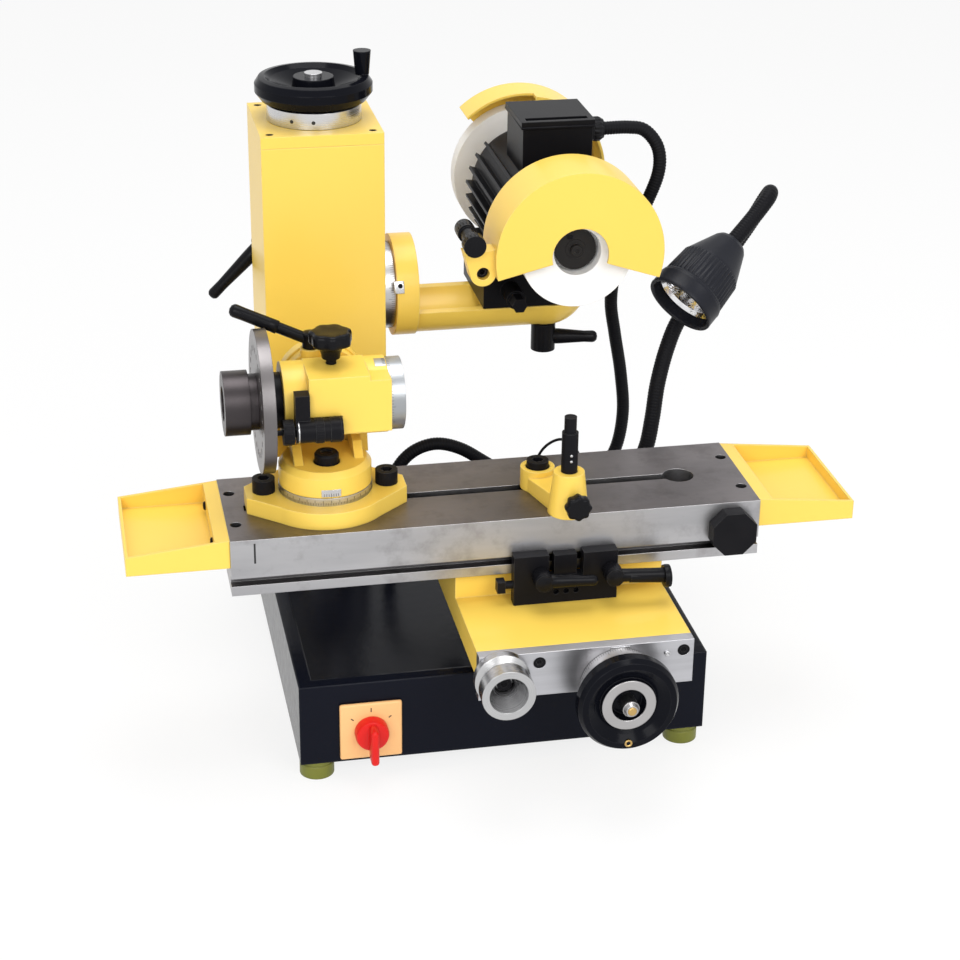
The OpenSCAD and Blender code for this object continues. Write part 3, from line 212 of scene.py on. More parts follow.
def surface(name, light, dark, rough, metal=0.0, patch=14, grain=900, depth=0.00005, coat=0.0, gloss=0.5,
            soften=0.0, worn_and_lit_edge=None, stretch=(1, 1, 1), spread=0.06, recess_shade=0.0, reach=0.012):
    skin = bpy.data.materials.new(name)
    skin.use_nodes = True
    n, join = skin.node_tree.nodes, skin.node_tree.links.new
    shader = n["Principled BSDF"]
    shader.inputs["Metallic"].default_value = metal
    shader.inputs["Coat Weight"].default_value = coat
    shader.inputs["Coat Roughness"].default_value = 0.08
    shader.inputs["Specular IOR Level"].default_value = gloss
    place = n.new("ShaderNodeTexCoord")
    pull = n.new("ShaderNodeMapping")
    pull.inputs["Scale"].default_value = stretch
    join(place.outputs["Object"], pull.inputs["Vector"])
    cloud, fine = n.new("ShaderNodeTexNoise"), n.new("ShaderNodeTexNoise")
    cloud.inputs["Scale"].default_value, cloud.inputs["Detail"].default_value = patch, 5
    fine.inputs["Scale"].default_value, fine.inputs["Detail"].default_value = grain, 3
    join(pull.outputs[0], cloud.inputs["Vector"])
    join(pull.outputs[0], fine.inputs["Vector"])
    tone = n.new("ShaderNodeMix")
    tone.data_type = "RGBA"
    tone.inputs["A"].default_value, tone.inputs["B"].default_value = (*light, 1), (*dark, 1)
    join(cloud.outputs["Fac"], tone.inputs["Factor"])
    colour = tone.outputs["Result"]
    sheen = n.new("ShaderNodeMapRange")
    sheen.inputs["To Min"].default_value = rough - spread
    sheen.inputs["To Max"].default_value = rough + spread
    join(fine.outputs["Fac"], sheen.inputs["Value"])
    join(sheen.outputs["Result"], shader.inputs["Roughness"])
    relief = n.new("ShaderNodeBump")
    relief.inputs["Distance"].default_value = depth
    relief.inputs["Strength"].default_value = 0.6
    join(fine.outputs["Fac"], relief.inputs["Height"])
    join(relief.outputs["Normal"], shader.inputs["Normal"])
    if soften:
        eased = n.new("ShaderNodeBevel")
        eased.samples = 6
        eased.inputs["Radius"].default_value = soften
        join(eased.outputs["Normal"], relief.inputs["Normal"])
        # Along the rounded edges a lighter colour is mixed in, in random patches: partly wear and partly a
        # painted highlight on the edges.
        if worn_and_lit_edge:
            flat, edge = n.new("ShaderNodeNewGeometry"), n.new("ShaderNodeVectorMath")
            edge_band = n.new("ShaderNodeMapRange")
            edge.operation = "DOT_PRODUCT"
            join(flat.outputs["Normal"], edge.inputs[0])
            join(eased.outputs["Normal"], edge.inputs[1])
            join(edge.outputs["Value"], edge_band.inputs["Value"])
            edge_band.inputs["From Min"].default_value, edge_band.inputs["From Max"].default_value = 0.97, 0.8
            patchy = n.new("ShaderNodeMath")
            patchy.operation = "MULTIPLY"
            join(edge_band.outputs["Result"], patchy.inputs[0])
            join(cloud.outputs["Fac"], patchy.inputs[1])
            edge_tinted = n.new("ShaderNodeMix")
            edge_tinted.data_type = "RGBA"
            edge_tinted.inputs["B"].default_value = (*worn_and_lit_edge, 1)
            join(colour, edge_tinted.inputs["A"])
            join(patchy.outputs[0], edge_tinted.inputs["Factor"])
            colour = edge_tinted.outputs["Result"]
    # Painted shade: an ambient occlusion mask mixes a near-black colour into the base colour in creases,
    # slots and holes, up to the given amount.
    if recess_shade:
        near, shade_tint = n.new("ShaderNodeAmbientOcclusion"), n.new("ShaderNodeMix")
        near.samples = 6
        near.inputs["Distance"].default_value = reach
        shade_amount = n.new("ShaderNodeMapRange")
        shade_amount.inputs["From Min"].default_value, shade_amount.inputs["From Max"].default_value = 0.1, 0.6
        shade_amount.inputs["To Min"].default_value, shade_amount.inputs["To Max"].default_value = recess_shade, 0
        join(near.outputs["AO"], shade_amount.inputs["Value"])
        shade_tint.data_type = "RGBA"
        shade_tint.inputs["B"].default_value = (0.012, 0.01, 0.009, 1)
        join(shade_amount.outputs["Result"], shade_tint.inputs["Factor"])
        join(colour, shade_tint.inputs["A"])
        colour = shade_tint.outputs["Result"]
    join(colour, shader.inputs["Base Color"])
    return skin


hose_black = surface("hose_black", (0.006, 0.006, 0.0075), (0.01, 0.01, 0.012), 0.45, grain=1500,
                     depth=0.0001, gloss=0.07)
conduit_run = smooth_run(
    [(-0.066, 0.200, 0.100), (-0.066, 0.200, 0.128), (-0.064, 0.201, 0.158), (-0.056, 0.203, 0.185),
     (-0.038, 0.205, 0.203), (-0.013, 0.207, 0.209), (0.014, 0.210, 0.200), (0.042, 0.214, 0.180),
     (0.074, 0.218, 0.156), (0.108, 0.224, 0.140), (0.142, 0.230, 0.138), (0.172, 0.234, 0.148),
     (0.194, 0.236, 0.172), (0.202, 0.237, 0.216), (0.198, 0.238, 0.264), (0.189, 0.236, 0.312),
     (0.182, 0.231, 0.352), (0.184, 0.222, 0.394), (0.194, 0.208, 0.436), (0.208, 0.197, 0.474),
     (0.218, 0.195, 0.506), (0.217, 0.199, 0.530), (0.204, 0.204, 0.547), (0.186, 0.205, 0.551),
     (0.1593, 0.205, 0.551)], 0.00075)
hose_corrugation = (0.00645, 0.0068, 0.007, 0.0068)
conduit_radii = [hose_corrugation[i % 4] for i in range(len(conduit_run))]
conduit_rings = rings_along(conduit_run, conduit_radii, 18)
low_end = nearest(conduit_run, here(0.194, 0.236, 0.172))
arm_end = nearest(conduit_run, here(0.184, 0.222, 0.394))
for name, first, last, bodies, start, end in [
        ("conduit_on_deck", 0, low_end, ("base", "sleeve"), (-0.03, 0.14, 0.17), (0.18, 0.14, 0.17)),
        ("conduit_beside_arm", low_end, arm_end, ("sleeve", "arm"), (0.19, 0.15, 0.18), (0.19, 0.15, 0.385)),
        ("conduit_to_motor", arm_end, len(conduit_run) - 1, ("arm", "motor"), (0.19, 0.14, 0.46),
         (0.19, 0.14, 0.552))]:
    hose = tube(name, conduit_rings[first:last + 1], hose_black)
    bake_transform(hose)
    if first == 0:
        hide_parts("conduit")


# Lamp lead: thin round rubber cable that loops up behind the table between two small glands.
# It is soft enough to stand in one arch and is fixed to the base at both ends.
lead_rubber = surface("lead_rubber", (0.006, 0.006, 0.007), (0.011, 0.011, 0.012), 0.5, grain=2500,
                      depth=0.00004, gloss=0.1)
lead_run = smooth_run(
    [(0.072, 0.150, 0.100), (0.073, 0.149, 0.130), (0.076, 0.147, 0.170), (0.082, 0.144, 0.206),
     (0.092, 0.142, 0.226), (0.108, 0.141, 0.234), (0.122, 0.141, 0.226), (0.131, 0.142, 0.208),
     (0.136, 0.145, 0.174), (0.139, 0.148, 0.132), (0.140, 0.150, 0.100)], 0.003)
lead_rings = rings_along(lead_run, [0.0015] * len(lead_run), 14)
lead = tube("lamp_cable", lead_rings, lead_rubber, "base")
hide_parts("lamp_lead")


# Base: one iron casting with raised walls round a sunken well, sprayed in gloss blue-black enamel.
# The column stands in it on a round pedestal; the ground steel post rises out of that.
def dress(finish, *nodes):
    for name in nodes:
        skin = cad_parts[name].data.materials
        skin.clear()
        skin.append(finish)


base_enamel = surface("base_enamel", (0.0035, 0.0043, 0.0095), (0.005, 0.0063, 0.0125), 0.22, patch=5,
                      grain=120, depth=0.0003, gloss=0.09, soften=0.003, worn_and_lit_edge=(0.03, 0.032, 0.04),
                      spread=0.05)
dress(base_enamel, "base_casting")
post_steel = surface("post_steel", (0.42, 0.42, 0.43), (0.3, 0.3, 0.31), 0.3, metal=1.0, patch=6, grain=60,
                     stretch=(1, 1, 14), soften=0.0015)
dress(post_steel, "column_post")


# Fittings on the deck: nylon hose gland, two small lead glands, the lamp socket and, on the back,
# the mains inlet. Each has a hexagon body and a ribbed dome nut screwed on to it.
def hexagon(angle):
    return cos(pi / 6) / cos(angle % (pi / 3) - pi / 6)


def ribbed(count, depth):
    return lambda angle: 1 - depth * (0.5 - 0.5 * cos(count * angle))


def turned(name, profile, foot, along, finish, body, sides=64, closed=True, sweep=(0, 2 * pi),
           crease=35):
    along = Vector(along).normalized()
    side = Vector((0, 0, 1)) if abs(along.z) < 0.7 else Vector((0, -1, 0))
    side = (side - along * side.dot(along)).normalized()
    across = along.cross(side)
    full = sweep[1] - sweep[0] > 6.28
    stops = sides if full else sides + 1
    points = []
    for entry in profile:
        for k in range(stops):
            angle = sweep[0] + (sweep[1] - sweep[0]) * k / sides
            r = entry[0] * (entry[2](angle) if len(entry) > 2 else 1)
            points.append(Vector(foot) + along * entry[1] + r * (cos(angle) * side + sin(angle) * across))
    faces, rows = [], len(profile)
    for i in range(rows if closed else rows - 1):
        j = (i + 1) % rows
        for k in range(sides):
            m = (k + 1) % stops
            faces.append((i * stops + k, i * stops + m, j * stops + m, j * stops + k))
    if closed and not full:
        faces += [tuple(i * stops for i in range(rows)), tuple(i * stops + sides for i in range(rows))]
    return make(name, points, faces, finish, body, crease)


nylon_black = surface("nylon_black", (0.007, 0.007, 0.0085), (0.012, 0.012, 0.014), 0.4, patch=40, grain=1800,
                      depth=0.00006, gloss=0.12, soften=0.0006, worn_and_lit_edge=(0.05, 0.05, 0.055))
dress(nylon_black, "base_fittings")


def gland(name, foot, along, size, body):
    nut = ribbed(16, 0.07)
    outline = [(0.82, 0), (1.22, 0, hexagon), (1.22, 0.5, hexagon), (1.04, 0.56), (1.1, 0.62, nut),
               (1.1, 1.15, nut), (0.92, 1.42, nut), (0.72, 1.52), (0.66, 1.46), (0.66, 0)]
    piece = turned(name, outline, foot, along, nylon_black, body, sides=96)
    piece.data.transform(Matrix.Translation(foot) @ Matrix.Scale(size, 4) @ Matrix.Translation(-foot))


gland("conduit_gland", here(-0.066, 0.2, 0.0785), (0, 0, 1), 0.0112, "base")
gland("lead_gland_left", here(0.072, 0.15, 0.084), (0, 0, 1), 0.0056, "base")
gland("lead_gland_right", here(0.14, 0.15, 0.084), (0, 0, 1), 0.0056, "base")
gland("mains_inlet_gland", here(0.15, 0.3305, 0.062), (0, 1, 0), 0.0112, "base")
socket_nut = [(0.0131, 0.008), (0.0185, 0.008, hexagon), (0.0185, 0.018, hexagon), (0.0145, 0.02),
              (0.0141, 0.036), (0.0125, 0.0445), (0.0085, 0.0455), (0.0085, 0.008)]
turned("lamp_socket_nut", socket_nut, here(0.169, 0.15, 0.078), (0, 0, 1), nylon_black,
       "base", sides=96)


# Feet: four moulded olive rubber buffers with a pinched groove round the middle.
# Each is screwed up into a corner of the base.
foot_olive = surface("foot_olive", (0.19, 0.2, 0.018), (0.13, 0.14, 0.012), 0.48, patch=60, grain=900,
                     depth=0.0001, soften=0.003, worn_and_lit_edge=(0.3, 0.31, 0.06))
dress(foot_olive, "rubber_feet")


# Main switch: square orange moulded escutcheon on the base front with a red turning handle.
# The handle is a round boss with a long thumb grip that hangs down in the off place.
def rounded(name, low, high, radius, finish, body, steps=4):
    low, high = Vector(low), Vector(high)
    shape = bmesh.new()
    bmesh.ops.create_cube(shape, size=1)
    for v in shape.verts:
        v.co = (low + high) / 2 + Vector((a * b for a, b in zip(v.co, high - low)))
    bmesh.ops.bevel(shape, geom=list(shape.edges), offset=radius, segments=steps, profile=0.5, affect="EDGES")
    mesh = bpy.data.meshes.new(name)
    shape.to_mesh(mesh)
    shape.free()
    mesh.shade_smooth()
    mesh.set_sharp_from_angle(angle=radians(40))
    mesh.materials.append(finish)
    piece = bpy.data.objects.new(name, mesh)
    bpy.context.scene.collection.objects.link(piece)
    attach(piece, body)
    return piece


switch_orange = surface("switch_orange", (0.92, 0.53, 0.22), (0.85, 0.47, 0.185), 0.42, patch=30, grain=1400,
                        depth=0.00004, soften=0.0008, worn_and_lit_edge=(0.95, 0.62, 0.32))
escutcheon = rounded("switch_escutcheon", here(-0.1645, -0.11, 0.023), here(-0.1035, -0.105, 0.084), 0.0023,
                     switch_orange, "base")
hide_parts("switch_plate")
switch_red = surface("switch_red", (0.74, 0.012, 0.008), (0.62, 0.009, 0.007), 0.3, patch=40, grain=1500,
                     depth=0.00004, gloss=0.25, soften=0.0008, worn_and_lit_edge=(0.85, 0.09, 0.06))
boss_outline = [(0, 0), (0.0165, 0), (0.0165, 0.008), (0.0155, 0.0108), (0.0132, 0.012), (0, 0.0123)]
boss = turned("switch_boss", boss_outline, here(-0.134, -0.1103, 0.0535), (0, -1, 0), switch_red,
              "switch", closed=False)
rounded("switch_grip", here(-0.138, -0.1383, 0.0295), here(-0.13, -0.1205, 0.0675), 0.0035, switch_red,
        "switch")
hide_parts("switch_knob")
mark_black = surface("mark_black", (0.01, 0.01, 0.01), (0.02, 0.02, 0.02), 0.6, grain=2000, depth=0.00002)


def strokes(name, bars, finish, body):
    points, faces = [], []
    for centre, u, v, w in bars:
        k = len(points)
        points += [centre + a * u + b * v + c * w for a in (-1, 1) for b in (-1, 1) for c in (-1, 1)]
        faces += [(k, k + 1, k + 3, k + 2), (k + 4, k + 6, k + 7, k + 5), (k, k + 4, k + 5, k + 1),
                  (k + 2, k + 3, k + 7, k + 6), (k, k + 2, k + 6, k + 4), (k + 1, k + 5, k + 7, k + 3)]
    return make(name, points, faces, finish, body)


mark_at = here(-0.134, -0.1101, 0.0535)
strokes("switch_marks", [
    (mark_at + 0.0235 * Vector((sin(radians(a)), 0, cos(radians(a)))),
     0.0005 * Vector((cos(radians(a)), 0, -sin(radians(a)))), Vector((0, 0.0002, 0)),
     length * Vector((sin(radians(a)), 0, cos(radians(a)))))
    for a, length in ((-52, 0.0016), (0, 0.0022), (52, 0.0016))], mark_black, "base")


# Saddle: yellow enamelled iron casting that slides across the base ways and carries the table.
# Its apron ends in a ground steel front plate held by socket screws; the stop block stands on top.
yellow_enamel = surface("yellow_enamel", (0.93, 0.645, 0.108), (0.9, 0.61, 0.096), 0.36, patch=7,
                        grain=420, depth=0.00008, coat=0.1, gloss=0.35, soften=0.0018,
                        worn_and_lit_edge=(0.98, 0.82, 0.36), spread=0.05, recess_shade=0.35)
dress(yellow_enamel, "saddle")
plate_steel = surface("plate_steel", (0.6, 0.6, 0.63), (0.42, 0.42, 0.44), 0.36, metal=1.0, patch=5, grain=60,
                      stretch=(2, 2, 40), soften=0.0008, depth=0.00003, worn_and_lit_edge=(0.75, 0.75, 0.76), recess_shade=0.7)
dress(plate_steel, "front_plate")
black_oxide = surface("black_oxide", (0.006, 0.006, 0.0075), (0.011, 0.0105, 0.0125), 0.36, patch=45,
                      gloss=0.07, grain=900, depth=0.00006, soften=0.001, worn_and_lit_edge=(0.1, 0.1, 0.1))
dress(black_oxide, "plate_screws", "stop_block")


def socket_head(name, foot, along, radius, height, finish, body):
    floor, socket = height * 0.45, radius * 0.55
    outline = [(0, floor), (socket, floor, hexagon), (socket, height, hexagon),
               (radius * 0.88, height), (radius, height * 0.88), (radius, 0), (0, 0)]
    return turned(name, outline, foot, along, finish, body, sides=72, closed=False)


bright_steel = surface("bright_steel", (0.66, 0.66, 0.67), (0.5, 0.5, 0.51), 0.28, metal=1.0, patch=60,
                       grain=700, depth=0.00002, soften=0.0006)
socket_head("plate_set_screw", here(0.14, -0.1768, 0.15), (0, -1, 0), 0.0028, 0.0022, bright_steel,
            "cross_saddle")
rounded("feed_vernier", here(0.0845, -0.1779, 0.1555), here(0.1035, -0.1768, 0.1618), 0.0005,
        bright_steel, "cross_saddle", steps=2)
strokes("feed_vernier_marks", [
    (here(0.094 + 0.0016 * k, -0.1780, 0.1586 - (0 if k % 5 else 0.0008)), Vector((0.00016, 0, 0)),
     Vector((0, 0.0001, 0)), Vector((0, 0, 0.0012 if k % 5 else 0.002))) for k in range(-5, 6)],
    mark_black, "cross_saddle")


# Stop levers: two ratchet levers on studs in the stop block, each a knurled black hub with a tapered
# grip pressed into it. The right one ends in a round button.
def grip_on(name, start, end, fat, thin, finish, body, ends=0.6):
    start, end = Vector(start), Vector(end)
    run = (end - start).length
    outline = [(0, -fat * ends), (fat * 0.6, -fat * ends * 0.8), (fat * 0.92, -fat * ends * 0.35), (fat, 0),
               (fat * 0.98, run * 0.2), (thin * 0.96, run * 0.8), (thin, run),
               (thin * 0.92, run + thin * 0.35), (thin * 0.6, run + thin * 0.7), (0, run + thin * 0.85)]
    return turned(name, outline, start, end - start, finish, body, sides=40, closed=False, crease=60)


lever_black = surface("lever_black", (0.0045, 0.0045, 0.006), (0.008, 0.008, 0.0095), 0.26, patch=50,
                      grain=1300, depth=0.00005, gloss=0.1, soften=0.001, worn_and_lit_edge=(0.06, 0.06, 0.065))
dress(lever_black, "left_stop_lever", "right_stop_lever")
hub_knurl = ribbed(24, 0.05)
hub_outline = [(0, 0.0212), (0.006, 0.021), (0.0085, 0.0195), (0.0092, 0.017), (0.0096, 0.016, hub_knurl),
               (0.0096, 0.003, hub_knurl), (0.0091, 0.002), (0.0091, 0)]
for hand, hub, tip, body in (("left", 0.037, 0.0054, "stop_lever_left"),
                             ("right", 0.107, 0.0068, "stop_lever_right")):
    turned(f"{hand}_stop_hub", hub_outline, here(hub, -0.0836, 0.195), (0, -1, 0), lever_black,
           body, sides=96, closed=False)
    grip_on(f"{hand}_stop_grip", here(hub + 0.006, -0.0978, 0.1948), here(hub + 0.049, -0.0996, 0.193),
            0.0066, tip, lever_black, body)
button_outline = [(0, 0.007), (0.0085, 0.0068), (0.0106, 0.006), (0.0113, 0.0045), (0.0113, 0.0015),
                  (0.0106, 0), (0, -0.0004)]
turned("stop_button", button_outline, here(0.156, -0.0993, 0.191), (1, 0, 0), lever_black,
       "stop_lever_right", sides=48, closed=False)


# Cross feed: steel screw under the saddle, a graduated steel drum and a dished black handwheel
# with a bright hub ring and a brass bush in its rim for the crank.
def lathe_marks(name, axis, centre, light, dark, rough):
    skin = surface(name, light, dark, rough, metal=1.0, patch=20, grain=300, depth=0.00002, soften=0.0008)
    n, join = skin.node_tree.nodes, skin.node_tree.links.new
    place, off, split, mixed = (n.new("ShaderNodeTexCoord"), n.new("ShaderNodeVectorMath"),
                                n.new("ShaderNodeSeparateXYZ"), n.new("ShaderNodeCombineXYZ"))
    off.operation = "SUBTRACT"
    off.inputs[1].default_value = centre
    join(place.outputs["Object"], off.inputs[0])
    join(off.outputs["Vector"], split.inputs[0])
    flat, size = n.new("ShaderNodeCombineXYZ"), n.new("ShaderNodeVectorMath")
    size.operation = "LENGTH"
    for other in "XYZ".replace(axis, ""):
        join(split.outputs[other], flat.inputs[other])
    join(flat.outputs[0], size.inputs[0])
    join(size.outputs["Value"], mixed.inputs["X"])
    join(split.outputs[axis], mixed.inputs["Y"])
    lines = n.new("ShaderNodeTexNoise")
    lines.inputs["Scale"].default_value, lines.inputs["Detail"].default_value = 1400, 2
    join(mixed.outputs[0], lines.inputs["Vector"])
    relief = next(k for k in n if k.type == "BUMP")
    sheen = next(k for k in n if k.type == "MAP_RANGE")
    relief.inputs["Distance"].default_value = 0.00006
    join(lines.outputs["Fac"], relief.inputs["Height"])
    join(lines.outputs["Fac"], sheen.inputs["Value"])
    return skin


feed_x, feed_z = 0.093, 0.122
dial_steel = lathe_marks("dial_steel", "Y", here(feed_x, -0.2, feed_z), (0.52, 0.51, 0.51),
                         (0.38, 0.37, 0.37), 0.3)
dress(dial_steel, "cross_screw", "cross_dial")
wheel_black = surface("wheel_black", (0.0032, 0.0036, 0.006), (0.0055, 0.006, 0.009), 0.16, patch=20,
                      grain=500, depth=0.00003, coat=0.01, gloss=0.06, soften=0.0015,
                      worn_and_lit_edge=(0.05, 0.05, 0.055))
dress(wheel_black, "cross_handwheel")
hub_ring = [(0.0165, 0), (0.0261, 0), (0.0261, 0.0007), (0.0256, 0.0011), (0.017, 0.0011), (0.0165, 0.0007)]
turned("handwheel_hub_ring", hub_ring, here(feed_x, -0.2178, feed_z), (0, -1, 0), dial_steel,
       "cross_feed", sides=96)
brass = surface("brass", (0.62, 0.42, 0.16), (0.5, 0.33, 0.12), 0.32, metal=1.0, patch=80, grain=900,
                depth=0.00002)
bush = [(0.0019, -0.006), (0.0019, 0.0002), (0.0024, 0.0006), (0.0034, 0.0006), (0.0038, 0.0002),
        (0.0038, -0.006)]
turned("crank_bush", bush, here(feed_x, -0.2219, 0.0825), (0, -1, 0), brass, "cross_feed", sides=40)
turned("feed_screw_end", [(0, 0.0012), (0.0036, 0.0011), (0.0042, 0.0006), (0.0044, 0)],
       here(feed_x, -0.2299, feed_z), (0, -1, 0), brass, "cross_feed", sides=40, closed=False)


def scale_round(name, centre, along, radius, count, short, long, finish, body, every=5, thick=0.00016):
    along = Vector(along).normalized()
    side = Vector((0, 0, 1)) if abs(along.z) < 0.7 else Vector((0, -1, 0))
    across = along.cross(side)
    bars = []
    for k in range(count):
        angle = 2 * pi * k / count
        out = cos(angle) * side + sin(angle) * across
        length = long if k % every == 0 else short
        bars.append((centre + out * radius + along * (length / 2), along.cross(out) * thick, out * 0.00008,
                     along * length / 2))
    return strokes(name, bars, finish, body)


scale_round("cross_dial_marks", here(feed_x, -0.1773, feed_z), (0, -1, 0), 0.038, 100, 0.004, 0.0065,
            mark_black, "cross_feed")


# Traverse drive: turned steel cup on the front plate, in one piece with the pinion shaft behind it.
# A black socket screw in its floor closes the end of the shaft.
cup_x, cup_z = -0.021, 0.142
cup_steel = lathe_marks("cup_steel", "Y", here(cup_x, -0.2, cup_z), (0.58, 0.58, 0.58),
                        (0.42, 0.42, 0.43), 0.26)
dress(cup_steel, "traverse_drive")
socket_head("cup_screw", here(cup_x, -0.189, cup_z), (0, -1, 0), 0.0072, 0.0034, black_oxide,
            "traverse")


# Table: ground cast iron bar with a T-slot along its top, a dog groove in front and bolt holes at its
# ends. The upward faces are painted darker and browner than the front by a tint keyed to which way each
# face points, random stains lie over that, and the T-slot and holes carry painted shade. A steel rack is
# fixed underneath.
table_iron = surface("table_iron", (0.58, 0.575, 0.585), (0.3, 0.3, 0.315), 0.4, metal=1.0, patch=16,
                     grain=160, stretch=(0.35, 1, 2.4), depth=0.00003, soften=0.0008,
                     worn_and_lit_edge=(0.75, 0.75, 0.75), spread=0.08, recess_shade=0.95, reach=0.03)
n, join = table_iron.node_tree.nodes, table_iron.node_tree.links.new
# Upward faces darker and browner: a tint keyed to the face's tilt, not to any stain pattern.
way_up, height = n.new("ShaderNodeNewGeometry"), n.new("ShaderNodeSeparateXYZ")
upward_tint = n.new("ShaderNodeMix")
upward_tint.data_type = "RGBA"
upward_tint.blend_type = "MULTIPLY"
upward_tint.inputs["B"].default_value = (0.47, 0.435, 0.43, 1)
join(way_up.outputs["Normal"], height.inputs[0])
join(height.outputs["Z"], upward_tint.inputs["Factor"])
join(n["Principled BSDF"].inputs["Base Color"].links[0].from_socket, upward_tint.inputs["A"])
stain, spots, stained = n.new("ShaderNodeTexNoise"), n.new("ShaderNodeMapRange"), n.new("ShaderNodeMix")
stain.inputs["Scale"].default_value, stain.inputs["Detail"].default_value = 24, 9
stain.inputs["Roughness"].default_value = 0.66
spots.inputs["From Min"].default_value, spots.inputs["From Max"].default_value = 0.5, 0.72
spots.inputs["To Max"].default_value = 0.75
stained.data_type = "RGBA"
stained.blend_type = "MULTIPLY"
stained.inputs["B"].default_value = (0.56, 0.53, 0.53, 1)
join(n.new("ShaderNodeTexCoord").outputs["Object"], stain.inputs["Vector"])
join(stain.outputs["Fac"], spots.inputs["Value"])
join(spots.outputs["Result"], stained.inputs["Factor"])
join(upward_tint.outputs["Result"], stained.inputs["A"])
join(stained.outputs["Result"], n["Principled BSDF"].inputs["Base Color"])
dress(table_iron, "table")
strokes("table_zero_line", [(here(-0.237, -0.07, 0.2355), Vector((0.0009, 0, 0)), Vector((0, 0.0001, 0)),
                             Vector((0, 0, 0.0105)))], mark_black, "work_table")
dress(plate_steel, "table_rack")


# Side trays: shallow boxes folded from sheet steel and enamelled yellow.
# Two black screws hold each of them to an end of the table.
dress(yellow_enamel, "left_tray", "right_tray")
tray_screw = [(0, 0.0018), (0.0008, 0.0026), (0.003, 0.0024), (0.0042, 0.0014), (0.0046, 0)]
for side, name in ((-1, "left"), (1, "right")):
    for k, y in enumerate((-0.04, 0.04)):
        turned(f"{name}_tray_screw_{k + 1}", tray_screw, here(side * 0.2739, y, 0.2365), (side, 0, 0),
               black_oxide, "work_table", sides=32, closed=False)


# Stop dog: eight-sided block of black oxidised iron with a plain face.
# It slides along the groove in the table front and is clamped where the stroke should end.
dress(black_oxide, "stop_dog")


# Work head: diamond foot bolted to the T-slot, a graduated steel ring and a turntable with two webs
# and a back plate, all yellow enamelled castings. Black socket bolts hold it.
dress(yellow_enamel, "workhead_base", "workhead_turntable", "spindle_housing")
dress(black_oxide, "clamp_bolts")
head_x, spindle_z = -0.16, 0.361
ring_steel = lathe_marks("ring_steel", "Z", here(head_x, 0, 0.27), (0.62, 0.62, 0.62), (0.48, 0.48, 0.48),
                         0.34)
dress(ring_steel, "turntable_scale")
scale_round("turntable_marks", here(head_x, 0, 0.2678), (0, 0, 1), 0.0455, 180, 0.0026, 0.0052, mark_black,
            "work_table", thick=0.00022)
index_plate = [(0.0449, 0), (0.0454, 0), (0.0454, 0.0075), (0.0449, 0.0075)]
turned("turntable_index_plate", index_plate, here(head_x, 0, 0.2765), (0, 0, 1), bright_steel,
       "turntable", sides=12, sweep=(-0.21, 0.21))
strokes("turntable_index_marks", [
    (here(head_x + 0.0455 * sin(a), -0.0455 * cos(a), 0.2785), 0.0002 * Vector((cos(a), sin(a), 0)),
     0.0001 * Vector((sin(a), -cos(a), 0)), Vector((0, 0, 0.002 if abs(a) < 0.01 else 0.0014)))
    for a in (-0.15, -0.1, -0.05, 0, 0.05, 0.1, 0.15)], mark_black, "turntable")
bolt_head = [(0, 0.0171), (0.0062, 0.0171, hexagon), (0.0062, 0.0187, hexagon), (0.0104, 0.0187),
             (0.0118, 0.0168), (0.0118, 0), (0, 0)]
turned("turntable_bolt", bolt_head, here(head_x, -0.014, 0.2915), (0, 0, 1), black_oxide,
       "turntable", sides=72, closed=False)


# Work spindle: hollow ground spindle with a drilled index plate, a dark draw knob behind it and a
# graduated steel collar at the working end. A curved vernier plate on the housing reads the collar.
spindle_middle = here(head_x, 0, spindle_z)
spindle_steel = lathe_marks("spindle_steel", "X", spindle_middle, (0.56, 0.55, 0.55), (0.4, 0.39, 0.39), 0.34)
collar_steel = lathe_marks("collar_steel", "X", spindle_middle, (0.46, 0.48, 0.5), (0.33, 0.345, 0.36), 0.32)
knob_steel = lathe_marks("knob_steel", "X", spindle_middle, (0.075, 0.066, 0.068), (0.045, 0.04, 0.042), 0.36)
index_steel = lathe_marks("index_steel", "X", spindle_middle, (0.23, 0.215, 0.215), (0.11, 0.104, 0.106),
                          0.34)
dress(spindle_steel, "work_spindle")
dress(index_steel, "index_plate")
dress(collar_steel, "work_dial")
dress(knob_steel, "draw_knob")
scale_round("work_dial_marks", here(-0.1005, 0, spindle_z), (1, 0, 0), 0.035, 72, 0.0028, 0.0046, mark_black,
            "spindle", every=6)
turned("work_vernier", [(0.0366, 0), (0.0373, 0), (0.0373, 0.0105), (0.0366, 0.0105)],
       here(-0.1122, 0, spindle_z), (1, 0, 0), collar_steel, "tilt_head", sides=12,
       sweep=(0.05, 0.4))
strokes("work_vernier_marks", [
    (here(-0.1035, -0.0374 * sin(a), spindle_z + 0.0374 * cos(a)), Vector((0.0015, 0, 0)),
     0.00014 * Vector((0, cos(a), sin(a))), 0.0001 * Vector((0, -sin(a), cos(a))))
    for a in (0.09, 0.15, 0.21, 0.27, 0.33)], mark_black, "tilt_head")


